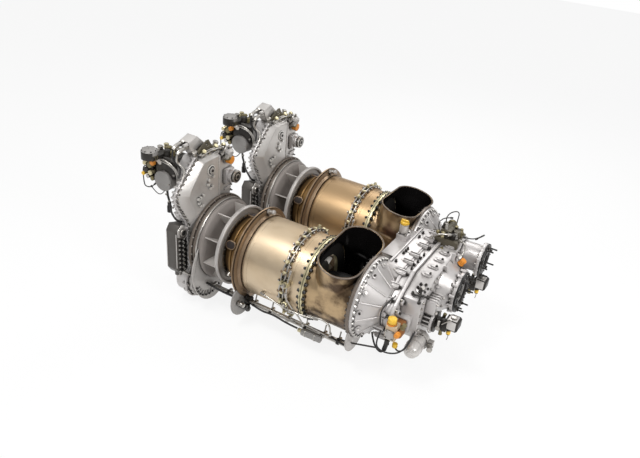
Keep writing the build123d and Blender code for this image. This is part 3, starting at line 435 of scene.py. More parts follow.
def turned(place, profile, material, steps):
    """Closed profile of (place, radius) corners turned about a line."""
    points, faces = [], []
    count = len(profile)
    for i in range(steps):
        angle = 2 * pi * i / steps
        points += [place(a, r * cos(angle), r * sin(angle)) for a, r in profile]
        following = (i + 1) % steps
        for k in range(count):
            m = (k + 1) % count
            faces.append((i * count + k, i * count + m, following * count + m,
                          following * count + k))
    return solid(points, faces, material)


def lathe(profile, material, y=0.0, z=0.0, steps=144, x=0.0):
    """Closed profile of (distance from x, radius) corners turned about a line along X."""
    return turned(lambda d, a, b: (x + d, y + a, z + b), profile, material, steps)


def lathe_y(base, profile, material, steps=48):
    """Closed profile of (distance towards -Y, radius) corners turned about a line along Y."""
    x, y, z = base
    return turned(lambda d, a, b: (x + a, y - d, z + b), profile, material, steps)


def box(low, high, material, width=0.002):
    """Box between two corners, with rounded edges."""
    work = bmesh.new()
    bmesh.ops.create_cube(work, size=1.0)
    for v in work.verts:
        v.co = Vector(low) + Vector((v.co[k] + 0.5) * (high[k] - low[k]) for k in range(3))
    bevel(work, list(work.edges), width)
    return finished(work, material)


def rod(start, end, radius, material, sides=24, width=0.0008):
    """Round or many-sided bar between two points, its ends slightly rounded."""
    a, b = Vector(start), Vector(end)
    work = bmesh.new()
    bmesh.ops.create_cone(work, segments=sides, cap_ends=True, radius1=radius, radius2=radius,
                          depth=(b - a).length)
    bevel(work, [e for e in work.edges if any(len(f.verts) == sides for f in e.link_faces)], width)
    turn = Vector((0, 0, 1)).rotation_difference(b - a).to_matrix().to_4x4()
    bmesh.ops.transform(work, matrix=Matrix.Translation((a + b) / 2) @ turn, verts=work.verts)
    return finished(work, material)


def rod_x(x0, x1, y, z, radius, material, sides=24, width=0.0008):
    """Bar along X."""
    return rod((x0, y, z), (x1, y, z), radius, material, sides, width)


def rod_z(x, y, z0, z1, radius, material, sides=24, width=0.0008):
    """Bar along Z."""
    return rod((x, y, z0), (x, y, z1), radius, material, sides, width)


def slab(outline, x0, x1, material, width=0.002):
    """Outline in Y and Z, pushed from x0 to x1, with rounded edges."""
    work = bmesh.new()
    pushed(work, [(x0, y, z) for y, z in outline], (x1 - x0, 0, 0))
    bmesh.ops.recalc_face_normals(work, faces=work.faces)
    bevel(work, list(work.edges), width)
    return finished(work, material)


def boss(centre, along, up, length, breadth, height, material, width=0.0015):
    """Oblong casting boss standing on a surface, longest along one direction."""
    far, rise = Vector(along).normalized(), Vector(up).normalized()
    side = rise.cross(far)
    reach, r = (length - breadth) / 2, breadth / 2
    points = []
    for k in range(16):
        angle = -pi / 2 + pi * (k % 8) / 7 + (pi if k >= 8 else 0)
        shift = reach if k < 8 else -reach
        points.append(Vector(centre) + far * (shift + r * cos(angle)) + side * r * sin(angle))
    work = bmesh.new()
    moved = pushed(work, points, rise * height)
    bevel(work, [e for e in work.edges if all(v in moved for v in e.verts)], width)
    return finished(work, material)


def rib(x, a, b, length, breadth, height, material, width=0.0015):
    """Boss on a face at x, between two (y, z) points and along their line."""
    return boss((x, (a[0] + b[0]) / 2, (a[1] + b[1]) / 2), (0, b[0] - a[0], b[1] - a[1]),
                (1, 0, 0), length, breadth, height, material, width)


def dressed(node, material, width=0.0016):
    """Copy of a CAD node with its sharp edges rounded, to stand in that node's place."""
    source = frame["nodes"][node]
    work = bmesh.new()
    work.from_mesh(source.data)
    work.transform(source.matrix_world)
    bmesh.ops.remove_doubles(work, verts=work.verts, dist=2e-5)
    bmesh.ops.dissolve_limit(work, angle_limit=radians(0.6), verts=work.verts, edges=work.edges)
    bevel(work, sharp_edges(work, 34), width, clamp_overlap=True)
    return finished(work, material, SHARP_DRESSED)


def round_mesh(obj, width):
    """Rounds the sharp edges of a mesh in place."""
    work = bmesh.new()
    work.from_mesh(obj.data)
    bevel(work, sharp_edges(work, 12), width, 3, clamp_overlap=True)
    work.to_mesh(obj.data)
    work.free()
    finish_mesh(obj.data, SHARP_COVER)


def wire(points, radius, material, smooth=False, closed=False):
    """Bar of round section through points, smooth or with corners."""
    curve = bpy.data.curves.new("piece", "CURVE")
    curve.dimensions = "3D"
    curve.bevel_depth = radius
    curve.bevel_resolution = 4
    curve.use_fill_caps = not closed
    curve.resolution_u = 8
    spline = curve.splines.new("NURBS" if smooth else "POLY")
    spline.points.add(len(points) - 1)
    for point, place in zip(spline.points, points):
        point.co = (*place, 1.0)
    spline.use_cyclic_u = closed
    if smooth:
        spline.order_u = 3
        spline.use_endpoint_u = True
    return plain(link(curve), material)


def tube(points, radius, material):
    """Tube along a smooth route through given points."""
    return wire(points, radius, material, smooth=True)


def pipe(points, radius, material="steel"):
    """Rigid pipe with a union nut at each end."""
    pieces = [tube(points, radius, material)]
    for end, following in ((points[0], points[1]), (points[-1], points[-2])):
        a = Vector(end)
        away = (Vector(following) - a).normalized()
        pieces.append(rod(a - away * radius, a + away * radius * 4, radius * 1.9, material, 6,
                          radius * 0.15))
    return pieces


def fitting(base, direction, radius, material="steel", length=0.03):
    """Union fitting: a hexagonal body, a round neck and a nut, from its base outwards."""
    a, away = Vector(base), Vector(direction).normalized() * length
    return [rod(a, a + away * 0.35, radius * 1.25, material, 6),
            rod(a + away * 0.3, a + away * 0.75, radius, material, 20),
            rod(a + away * 0.7, a + away, radius * 1.15, material, 6)]


def dome(base, direction, radius, material, height=None, steps=32):
    """Round cap with a domed end, from its base outwards."""
    height = height or radius
    a, away = Vector(base), Vector(direction).normalized()
    profile = [(0.0, radius), (height * 0.55, radius), (height * 0.8, radius * 0.86),
               (height * 0.95, radius * 0.55)]
    turn = Vector((0, 0, 1)).rotation_difference(away).to_matrix()
    points, faces = [], []
    for up, r in profile:
        for i in range(steps):
            angle = 2 * pi * i / steps
            points.append(a + turn @ Vector((r * cos(angle), r * sin(angle), up)))
    for k in range(len(profile) - 1):
        for i in range(steps):
            j = (i + 1) % steps
            faces.append((k * steps + i, k * steps + j, (k + 1) * steps + j, (k + 1) * steps + i))
    last, top = (len(profile) - 1) * steps, len(points)
    points.append(a + away * height)
    faces += [(last + i, last + (i + 1) % steps, top) for i in range(steps)]
    return solid(points, [*faces, tuple(range(steps))], material)


def loft(rings, material):
    """Skin over rings of points, capped at both ends."""
    count, last = len(rings[0]), len(rings) - 1
    faces = []
    for i in range(last):
        for k in range(count):
            m = (k + 1) % count
            faces.append((i * count + k, i * count + m, (i + 1) * count + m, (i + 1) * count + k))
    faces.append(tuple(range(count)))
    faces.append(tuple(last * count + k for k in range(count)))
    return solid([p for ring in rings for p in ring], faces, material)


def smooth_line(points, steps=5):
    """Smooth open line through the given corners."""
    corners = [Vector(p) for p in (points[0], *points, points[-1])]
    line = []
    for i in range(len(points) - 1):
        a, b, c, d = corners[i:i + 4]
        for k in range(steps):
            t = k / steps
            line.append(tuple(0.5 * (2 * b + (c - a) * t + (2 * a - 5 * b + 4 * c - d) * t * t
                                     + (3 * b - a - 3 * c + d) * t * t * t)))
    return line + [tuple(points[-1])]


def turning(outline):
    """1 where a closed outline runs anticlockwise, else -1."""
    area = sum(a[0] * b[1] - b[0] * a[1] for a, b in zip(outline, [*outline[1:], outline[0]]))
    return 1 if area > 0 else -1


def grown_outline(outline, distance):
    """Closed (y, z) outline moved outwards by a distance, corner by corner."""
    count, sign = len(outline), turning(outline)
    found = []
    for i in range(count):
        before, here, after = (Vector(outline[(i + k) % count]) for k in (-1, 0, 1))
        first, second = (here - before).normalized(), (after - here).normalized()
        normal = (Vector((first.y + second.y, -first.x - second.x)) * sign).normalized()
        lean = max(0.5, normal.dot(Vector((first.y, -first.x)) * sign))
        found.append(tuple(here + normal * distance / lean))
    return found


def merge(pieces):
    """Joins objects into the first one."""
    with bpy.context.temp_override(active_object=pieces[0], selected_editable_objects=pieces,
                                   selected_objects=pieces, object=pieces[0]):
        bpy.ops.object.join()
    return pieces[0]


def plain(source, material=None):
    """Plain mesh object from an object with modifiers or a curve, which it then removes."""
    bpy.context.view_layer.update()
    shape = source.evaluated_get(bpy.context.evaluated_depsgraph_get())
    mesh = bpy.data.meshes.new_from_object(shape)
    old = source.data
    bpy.data.objects.remove(source)
    (bpy.data.meshes if isinstance(old, bpy.types.Mesh) else bpy.data.curves).remove(old)
    if material:
        mesh.shade_smooth()
        mesh.set_sharp_from_angle(angle=radians(SHARP))
    return link(mesh, material)


def each_section(build):
    """Builds the piece of both sections, and reports to the operator's caller."""
    for name, y in SECTIONS.items():
        build(name, y)
    return {"FINISHED"}


def shared(name, *nodes):
    """CAD nodes that both sections share, which the left section's piece replaces."""
    return nodes if name == "left" else ()


def join(name, pieces, replaces=(), body=BODY):
    """Joins pieces into one object that rides on a body."""
    obj = merge(list(pieces))
    obj.name = name
    obj.data.name = name
    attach(obj, body)
    if replaces:
        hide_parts(*replaces)


# Geometry node trees for what repeats

def bolt_nodes(tree, given):
    """Hexagonal head on a washer, standing on the XY plane."""
    cylinder = "GeometryNodeMeshCylinder"
    head = add(tree, cylinder, {"Vertices": 6, "Radius": given["Head Radius"],
                                "Depth": given["Head Height"]})
    washer = add(tree, cylinder, {"Vertices": 14, "Depth": 0.0016,
                                  "Radius": calc(tree, "MULTIPLY", given["Head Radius"], 1.3)})
    both = tree.nodes.new("GeometryNodeJoinGeometry")
    tree.links.new(washer.outputs["Mesh"], both.inputs[0])
    half = calc(tree, "MULTIPLY", given["Head Height"], 0.5)
    tree.links.new(lifted(tree, head.outputs["Mesh"], half), both.inputs[0])
    return both.outputs[0]


def lifted(tree, geometry, height):
    """Geometry moved up by a height."""
    lift = add(tree, "ShaderNodeCombineXYZ", {"Z": height})
    return add(tree, "GeometryNodeTransform", {
        "Geometry": geometry, "Translation": lift.outputs[0]}).outputs["Geometry"]


def painted(tree, given, result, geometry):
    """Ends a tree in real geometry with its material."""
    real = add(tree, "GeometryNodeRealizeInstances", {"Geometry": geometry})
    paint = add(tree, "GeometryNodeSetMaterial", {
        "Geometry": real.outputs["Geometry"], "Material": given["Material"]})
    tree.links.new(paint.outputs["Geometry"], result["Geometry"])
    return tree


def bolts_tree():
    """Bolts on the points of the mesh that the modifier is on, heads along one direction."""
    tree, given, result = new_group("GeometryNodeTree", "Bolts on points", {
        "Points": "Geometry", "Head Radius": 0.005, "Head Height": 0.006,
        "Direction": (1.0, 0.0, 0.0), "Material": "Material"}, {"Geometry": "Geometry"})
    turn = add(tree, "FunctionNodeAlignRotationToVector", {"Vector": given["Direction"]}, axis="Z")
    place = add(tree, "GeometryNodeInstanceOnPoints", {
        "Points": given["Points"], "Instance": bolt_nodes(tree, given),
        "Rotation": turn.outputs["Rotation"]})
    return painted(tree, given, result, place.outputs["Instances"])


def circle_points(tree, given):
    """Points round a circle."""
    return add(tree, "GeometryNodeMeshCircle", {
        "Vertices": given["Count"], "Radius": given["Circle Radius"]}).outputs["Mesh"]


def ring_tree():
    """Bolts round a circle about X, facing along X or outwards."""
    tree, given, result = new_group("GeometryNodeTree", "Bolts round a ring", {
        "Count": 24, "Circle Radius": 0.2, "Head Radius": 0.005, "Head Height": 0.006,
        "Centre": (0.0, 0.0, 0.0), "Turn": (0.0, 0.0, 0.0), "Material": "Material"},
        {"Geometry": "Geometry"})
    place = add(tree, "GeometryNodeInstanceOnPoints", {
        "Points": circle_points(tree, given), "Instance": bolt_nodes(tree, given)})
    move = add(tree, "GeometryNodeTransform", {
        "Geometry": place.outputs["Instances"], "Translation": given["Centre"],
        "Rotation": given["Turn"]})
    return painted(tree, given, result, move.outputs["Geometry"])


# Sides, share of the radius, share of the height and place of each step of an adaptor
ADAPTOR_STEPS = ((20, 1.0, 0.35, 0.1), (6, 0.75, 0.5, 0.5), (16, 0.5, 0.4, 0.9))


def adaptors_tree():
    """Fuel nozzle adaptors that stand round a case, each of three steps."""
    tree, given, result = new_group("GeometryNodeTree", "Adaptors round a case", {
        "Count": 14, "Circle Radius": 0.2, "Boss Radius": 0.016, "Boss Height": 0.03,
        "Centre": (0.0, 0.0, 0.0), "Material": "Material"}, {"Geometry": "Geometry"})
    parts = tree.nodes.new("GeometryNodeJoinGeometry")
    for sides, wide, tall, base in ADAPTOR_STEPS:
        step = add(tree, "GeometryNodeMeshCylinder", {
            "Vertices": sides, "Radius": calc(tree, "MULTIPLY", given["Boss Radius"], wide),
            "Depth": calc(tree, "MULTIPLY", given["Boss Height"], tall)})
        high = calc(tree, "MULTIPLY", given["Boss Height"], base)
        tree.links.new(lifted(tree, step.outputs["Mesh"], high), parts.inputs[0])
    outward = add(tree, "FunctionNodeAlignRotationToVector", {
        "Vector": tree.nodes.new("GeometryNodeInputPosition").outputs[0]}, axis="Z")
    place = add(tree, "GeometryNodeInstanceOnPoints", {
        "Points": circle_points(tree, given), "Instance": parts.outputs[0],
        "Rotation": outward.outputs["Rotation"]})
    move = add(tree, "GeometryNodeTransform", {
        "Geometry": place.outputs["Instances"], "Translation": given["Centre"],
        "Rotation": (0.0, pi / 2, 0.0)})
    return painted(tree, given, result, move.outputs["Geometry"])


TREES = {}


def grown(tree, values, points=()):
    """Plain mesh grown by a node tree, from its named inputs and optional points."""
    mesh = bpy.data.meshes.new("piece")
    mesh.from_pydata([tuple(p) for p in points], [], [])
    host = link(mesh)
    modifier = host.modifiers.new("Grow", "NODES")
    modifier.node_group = TREES[tree]
    for item in TREES[tree].interface.items_tree:
        if item.item_type == "SOCKET" and item.in_out == "INPUT" and item.name in values:
            modifier[item.identifier] = values[item.name]
    return plain(host)


def bolt_ring(x, y, z, circle, count, material="steel", head=None, height=None, facing=1,
              start=0.0):
    """Ring of bolts about X, heads towards +X or -X."""
    head = head or sizes().bolt_head
    ring = grown("ring", {
        "Count": count, "Circle Radius": circle, "Head Radius": head,
        "Head Height": height or head * 1.3, "Centre": (x, y, z),
        "Turn": (0.0, facing * pi / 2, 0.0), "Material": MATERIALS[material]})
    if start:
        ring.data.transform(Matrix.Translation((x, y, z)) @ Matrix.Rotation(radians(start), 4, "X")
                            @ Matrix.Translation((-x, -y, -z)))
    return ring


def bolts(points, direction, material="steel", head=None, height=None):
    """Bolts at listed points, all heads along one direction."""
    head = head or sizes().small_bolt_head
    return grown("bolts", {
        "Head Radius": head, "Head Height": height or head * 1.4, "Direction": direction,
        "Material": MATERIALS[material]}, points)


def spaced(line, spacing):
    """Points at even spacing along an open line of (y, z) corners."""
    found, carry = [], 0.0
    for (y0, z0), (y1, z1) in zip(line, line[1:]):
        length = hypot(y1 - y0, z1 - z0)
        place = carry
        while place < length:
            share = place / length
            found.append((y0 + (y1 - y0) * share, z0 + (z1 - z0) * share))
            place += spacing
        carry = place - length
    return found


def placed(base, *offsets):
    """Points given by their offsets from a base point."""
    return [tuple(b + o for b, o in zip(base, offset)) for offset in offsets]


def polar(radius, angle, y=0.0, z=0.0):
    """Point in Y and Z at an angle in degrees from +Y towards +Z."""
    return y + radius * cos(radians(angle)), z + radius * sin(radians(angle))


# Power sections

def inlet_lug(y):
    """Large lug at the foot of the inlet ring, which the service lines pass through."""
    x = X_COVER + 0.042
    outer = smooth_line([(y + a, b) for a, b in INLET_LUG])
    inner = [polar(0.2088, 270 - 5 * k, y) for k in range(21)]
    yield slab(outer + inner, x, x + 0.008, "lip", 0.0015)
    cy, cz = y - 0.12, -0.16
    for k in range(8):
        angle = 200 + 14 * k
        a, b = polar(0.086, angle, cy, cz), polar(0.12, angle, cy, cz)
        yield rib(x + 0.008, a, b, 0.03, 0.0045, 0.005, "grey")
    points = [(x + 0.008, *polar(0.112, 193 + 14 * k, cy, cz)) for k in range(9)]
    yield bolts(points, (1, 0, 0), "dark", 0.0046, 0.007)


def inlet(name, y):
    """Inlet ring, band, wall and lip of one section."""
    x, r, back = X_COVER, RING_R, X_LIP_BACK
    outer = lathe([(0, 0.022), (0, r - 0.003), (0.003, r), (0.012, r), (0.015, r - 0.003),
        (0.016, r - 0.012), (0.019, r - 0.01), (0.029, r - 0.01), (0.032, r - 0.013),
        (0.032, 0.022)], "ring", y, x=x)
    band = lathe([(0.03, 0.2), (0.03, 0.2135), (0.033, 0.216), (0.038, 0.216), (0.04, 0.2135),
        (0.04, 0.2)], "steel", y, x=x)
    wall = lathe([(0.031, 0.022), (0.031, 0.209), (0.056, 0.209), (0.06, 0.2055), (0.064, 0.196),
        (0.07, 0.176), (0.078, 0.151), (0.086, 0.13), (0.102, 0.1), (0.118, 0.078), (0.131, 0.062),
        (0.131, 0.022)], "wall", y, x=x)
    lip = lathe([(0, 0.102), (0, LIP_R - 0.012), (0.003, LIP_R - 0.006), (0.007, LIP_R - 0.001),
        (0.011, LIP_R), (0.02, LIP_R), (0.024, LIP_R - 0.003), (0.025, LIP_R - 0.008),
        (0.023, LIP_R - 0.012), (0.012, LIP_R - 0.013), (0.012, 0.102)], "lip", y, x=back)
    heads = bolt_ring(x + 0.015, y, 0, r - 0.006, 32, head=0.0036)
    front = bolt_ring(x + 0.032, y, 0, 0.2025 + 0.004, 28, head=0.0032)
    join(f"{name}_inlet", [outer, band, wall, lip, heads, front, *inlet_lug(y)],
        replaces=shared(name, "inlet_cases", "inlet_lips"))


class ENGINE_OT_inlets(bpy.types.Operator):
    """Inlet rings with their bands, bolts and bright lip"""
    bl_idname = "engine.inlets"
    bl_label = "Inlets"

    def execute(self, context):
        return each_section(inlet)


def compressor_case(name, y):
    """Compressor case of one section, with oval bosses whose near-black tops are painted shade of
    open bleed ports.
    """
    low, high = span("compressor_cases")
    outer = 0.174
    x = low.x
    shell = lathe([(x, 0.103), (x, 0.148), (x + 0.018, 0.152), (x + 0.034, 0.163),
        (x + 0.044, 0.168), (x + 0.05, 0.172), (x + 0.058, 0.172), (x + 0.06, 0.168),
        (high.x - 0.012, outer), (high.x, outer), (high.x, 0.151), (high.x - 0.043, 0.151),
        (high.x - 0.043, 0.103)], "bronze", y)
    ring = lathe([(0.001, 0.15), (0.001, 0.168), (0.009, 0.168), (0.009, 0.15)], "steel", y, x=x)
    studs = bolt_ring(x + 0.009, y, 0, 0.161, 30, head=0.0036)
    pieces = [shell, ring, studs]
    for angle in (35, 80, 150, 215, 262, 310):
        out = 0, cos(radians(angle)), sin(radians(angle))
        foot = polar(outer - 0.003, angle, y)
        pieces.append(boss((x + 0.046, *foot), (1, 0, 0), out, 0.058, 0.044, 0.0055, "flange",
            0.0025))
        # Near-black top on each boss: painted shade of an open bleed port
        pieces.append(boss((x + 0.046, *foot), (1, 0, 0), out, 0.05, 0.036, 0.007, "port_shade",
            0.003))
    join(f"{name}_compressor_case", pieces,
        replaces=shared(name, "compressor_cases"))


class ENGINE_OT_compressor_cases(bpy.types.Operator):
    """Compressor cases with their ribs and oval bosses, their near-black tops painted shade of open
    bleed ports
    """
    bl_idname = "engine.compressor_cases"
    bl_label = "Compressor cases"

    def execute(self, context):
        return each_section(compressor_case)


def seal_lug(y):
    """Lug at the foot of the seal, with the bulkhead fittings of the service lines."""
    x = X_FIREWALL
    ly, lz, r = y + LUG[0], *LUG[1:]
    yield rod_x(x + 0.006, x + 0.016, ly, lz, r, "grey", 72, width=0.002)
    for dy, dz, size, material in ((0.03, -0.038, 0.013, "steel"), (-0.028, -0.03, 0.011, "dark"),
            (-0.004, -0.054, 0.01, "dark"), (-0.052, -0.006, 0.01, "steel"),
            (0.016, -0.006, 0.012, "dark")):
        yield from fitting((x + 0.016, ly + dy, lz + dz), (1, 0, 0), size, material, 0.04)
    yield rod_z(x + 0.03, ly + 0.016, lz - 0.05, lz - 0.086, 0.012, "dark", 20)
    top = polar(SEAL_R - 0.016, 82)
    yield from fitting((x + 0.018, y + top[0], top[1]), (1, 0, 0.25), 0.011, "steel", 0.042)
    yield dome((x + 0.052, y + top[0], top[1] + 0.008), (1, 0, 0.25), 0.012, "lip", 0.012)


def burner_case(name, y):
    """Fire seal and burner case of one section."""
    rim = SEAL_R
    x = X_FIREWALL
    flange = lathe([(x, 0.152), (x, rim - 0.012), (x + 0.004, rim - 0.004), (x + 0.008, rim),
        (x + 0.013, rim - 0.002), (x + 0.014, rim - 0.01), (x + 0.017, rim - 0.012),
        (x + 0.019, rim - 0.006), (x + 0.021, rim - 0.014), (x + 0.023, CASE_R + 0.01),
        (x + 0.03, CASE_R + 0.006), (X_CASE, CASE_R + 0.004), (X_CASE, 0.152)], "flange", y)
    case = lathe([(X_CASE, 0.03), (X_CASE, CASE_R - 0.004), (X_CASE + 0.008, CASE_R - 0.001),
        (X_CASE + 0.016, CASE_R), (X_CASE_END, CASE_R), (X_CASE_END, CASE_R - 0.006),
        (X_CASE + 0.016, CASE_R - 0.006), (X_CASE + 0.016, 0.03)], "bronze", y)
    bands = [lathe([(-0.0015, CASE_R - 0.001), (-0.001, CASE_R + 0.0006), (0.001, CASE_R + 0.0006),
        (0.0015, CASE_R - 0.001)], "bronze", y, x=at) for at in (X_CASE + 0.03, X_CASE_END - 0.05)]
    studs = bolt_ring(x + 0.014, y, 0, rim - 0.019, 48, head=0.0036)
    join(f"{name}_burner_case", [flange, case, *bands, studs, *seal_lug(y)],
        replaces=shared(name, "gas_generator_cases", "firewall_flanges"))


class ENGINE_OT_burner_cases(bpy.types.Operator):
    """Fire seal flanges with their lugs, and the long burner cases"""
    bl_idname = "engine.burner_cases"
    bl_label = "Burner cases"

    def execute(self, context):
        return each_section(burner_case)


def adaptor_foot(x, y, angle):
    """Three-cornered plate under an adaptor, with its bolts."""
    turn = Matrix.Translation((0, y, 0)) @ Matrix.Rotation(radians(angle), 4, "X")
    spots = [(-0.024, 0.0), (0.016, 0.017), (0.016, -0.017)]
    centre = turn @ Vector((x, CASE_R - 0.002, 0))
    out = turn.to_3x3() @ Vector((0, 1, 0))
    for dx, dy in spots:
        place = turn @ Vector((x + dx, CASE_R - 0.002, dy))
        middle = (centre + place) / 2
        yield boss(middle, place - centre, out, (place - centre).length + 0.013, 0.013, 0.006,
            "flange", 0.001)
        yield rod(place + out * 0.004, place + out * 0.013, 0.0045, "steel", 6, width=0.0005)


def supply_valve(x, y):
    """Supply valve on the camera's side of the manifold, with its feed pipes."""
    for angle, reach in ((168, 0.034), (196, 0.028)):
        a, b = polar(CASE_R + 0.006, angle), polar(CASE_R + reach, angle)
        yield rod((x + 0.022, y + a[0], a[1]), (x + 0.022, y + b[0], b[1]), 0.015, "zinc", 24)
        yield from fitting((x + 0.022, y + b[0], b[1]), (0, b[0], b[1]), 0.008, "steel", 0.014)
    for start, end, r in ((150, 182, 0.02), (182, 214, 0.018)):
        bends = [polar(CASE_R + r, start + (end - start) * k / 3) for k in range(4)]
        route = [(x + 0.03, y + p[0], p[1]) for p in bends]
        yield from pipe(route, 0.0036)


def nozzle_ring(name, y):
    """Ring of adaptors of one section, with all that joins them."""
    low, high = span("fuel_manifolds")
    x = (low.x + high.x) / 2
    count = 14
    pieces = [grown("adaptors", {"Count": count, "Circle Radius": CASE_R, "Boss Radius": 0.015,
        "Boss Height": 0.03, "Centre": (x, y, 0.0), "Material": MATERIALS["zinc"]})]
    for i in range(count):
        start, end = (360 * (i + k) / count + 90 for k in (0, 1))
        pieces += adaptor_foot(x, y, start)
        a, b = polar(CASE_R + 0.015, start), polar(CASE_R + 0.015, end)
        bow = polar(CASE_R + 0.021, (start + end) / 2)
        for shift in (-0.007, 0.007):
            route = [(x + shift, y + a[0], a[1]), (x + shift * 2.2, y + bow[0], bow[1]),
                (x + shift, y + b[0], b[1])]
            pieces.append(tube(route, 0.0038, "steel"))
        mid = (start + end) / 2
        out = 0, cos(radians(mid)), sin(radians(mid))
        pieces.append(boss((x - 0.004, *polar(CASE_R - 0.001, mid, y)), (1, 0, 0), out, 0.036,
            0.014, 0.02, "flange", 0.002))
        pieces.append(boss((x + 0.004, *polar(CASE_R + 0.018, mid, y)), (1, 0, 0), out, 0.02,
            0.011, 0.008, "zinc", 0.002))
        for turn in (0.22, 0.78):
            spot = polar(CASE_R + 0.004, start + (end - start) * turn, y)
            pieces.append(rod_x(x - 0.012, x + 0.016, *spot, 0.0066,
                "steel" if turn < 0.5 else "dark", 12))
    pieces += supply_valve(x, y)
    join(f"{name}_fuel_nozzles", pieces, replaces=shared(name, "fuel_manifolds"))


class ENGINE_OT_fuel_nozzles(bpy.types.Operator):
    """Fuel nozzle adaptors with their plates, nuts, transfer tubes and manifold"""
    bl_idname = "engine.fuel_nozzles"
    bl_label = "Fuel nozzles"

    def execute(self, context):
        return each_section(nozzle_ring)


def turbine_flange(name, y):
    """Turbine flange of one section, bolted from both sides."""
    low, high = span("turbine_flanges")
    r = 0.208
    x = high.x
    ring = lathe([(-0.02, 0.12), (-0.02, r - 0.001), (-0.013, r), (-0.0115, r - 0.003),
        (-0.0085, r - 0.003), (-0.007, r), (0, r - 0.001), (0, 0.12)], "zinc", y, x=x)
    shroud = lathe([(low.x, 0.119), (low.x, 0.125), (x - 0.018, 0.125), (x - 0.018, 0.119)],
        "flange", y)
    count = sizes().flange_bolts
    rear = bolt_ring(x - 0.02, y, 0, r - 0.007, count, "black", head=0.0076, height=0.011,
        facing=-1)
    front = bolt_ring(x, y, 0, r - 0.007, count, "black", head=0.0078, height=0.012)
    join(f"{name}_turbine_flange", [ring, shroud, rear, front],
        replaces=shared(name, "turbine_flanges"))


class ENGINE_OT_turbine_flanges(bpy.types.Operator):
    """Turbine flanges with their close rows of dark bolts, and the shrouds inside them"""
    bl_idname = "engine.turbine_flanges"
    bl_label = "Turbine flanges"

    def execute(self, context):
        return each_section(turbine_flange)


# Exhausts

PORT_LENGTH = 0.398
PORT_WIDTH = 0.199
PORT_HEIGHT = 0.209
PORT_SET_BACK = 0.110
PORT_OFFSET = 0.013
PORT_LEAN_OUT = 5.2
PORT_LEAN_FORWARD = 9.8
DUCT_R = 0.190
WALL = 0.0035


def port_frame(side, drop):
    """Matrix of the plane of the exhaust rim, or of one further down the stub."""
    lean, out = radians(PORT_LEAN_FORWARD), radians(PORT_LEAN_OUT)
    normal = Vector((sin(lean), side * sin(out) * cos(lean), cos(out) * cos(lean))).normalized()
    across = (Vector((0, 1, 0)) - normal * normal.y).normalized()
    along = across.cross(normal)
    centre = Vector((X_GEARBOX - PORT_SET_BACK, side * (HALF + PORT_OFFSET), PORT_HEIGHT))
    turn = Matrix((across, -along, normal)).transposed().to_4x4()
    return Matrix.Translation(centre - normal * drop) @ turn


def obround(length, width, steps=24):
    """Points of an obround, longest along its first axis."""
    reach, r = (length - width) / 2, width / 2
    points = []
    for k in range(2 * steps):
        angle = -pi / 2 + pi * (k % steps) / (steps - 1) + (pi if k >= steps else 0)
        shift = reach if k < steps else -reach
        points.append((shift + r * cos(angle), r * sin(angle)))
    return points


def stub_rings(side, levels):
    """Rings of points of the stub at the given (drop, loss of length, loss of width)."""
    rings = []
    for drop, shorter, thinner in levels:
        place = port_frame(side, drop)
        outline = obround(PORT_LENGTH - shorter, PORT_WIDTH - thinner)
        rings.append([place @ Vector((a, b, 0)) for a, b in outline])
    return rings


def blended(closed, side):
    """Closed forms melted into one skin, opened at its ends and given a wall."""
    host = merge(closed)
    melt = host.modifiers.new("Melt", "REMESH")
    melt.mode = "VOXEL"
    melt.voxel_size = 0.0045
    soft = host.modifiers.new("Soften", "SMOOTH")
    soft.factor = 0.5
    soft.iterations = 14
    skin = plain(host)
    work = bmesh.new()
    work.from_mesh(skin.data)
    top = port_frame(side, 0.0)
    normal = top.to_3x3() @ Vector((0, 0, 1))
    for point, direction in ((top.translation, normal), (Vector((X_EXHAUST + 0.001, 0, 0)),
            Vector((-1, 0, 0))), (Vector((X_GEARBOX - 0.01, 0, 0)), Vector((1, 0, 0)))):
        geometry = list(work.verts) + list(work.edges) + list(work.faces)
        bmesh.ops.bisect_plane(work, geom=geometry, plane_co=point, plane_no=direction,
            clear_outer=True)
    work.to_mesh(skin.data)
    work.free()
    skin.data.materials.clear()
    skin.data.materials.append(MATERIALS["heat"])
    skin.data.materials.append(MATERIALS["soot"])
    wall = skin.modifiers.new("Wall", "SOLIDIFY")
    wall.thickness = WALL
    wall.offset = -1
    wall.material_offset = 1
    skin = plain(skin)
    skin.data.shade_smooth()
    return skin


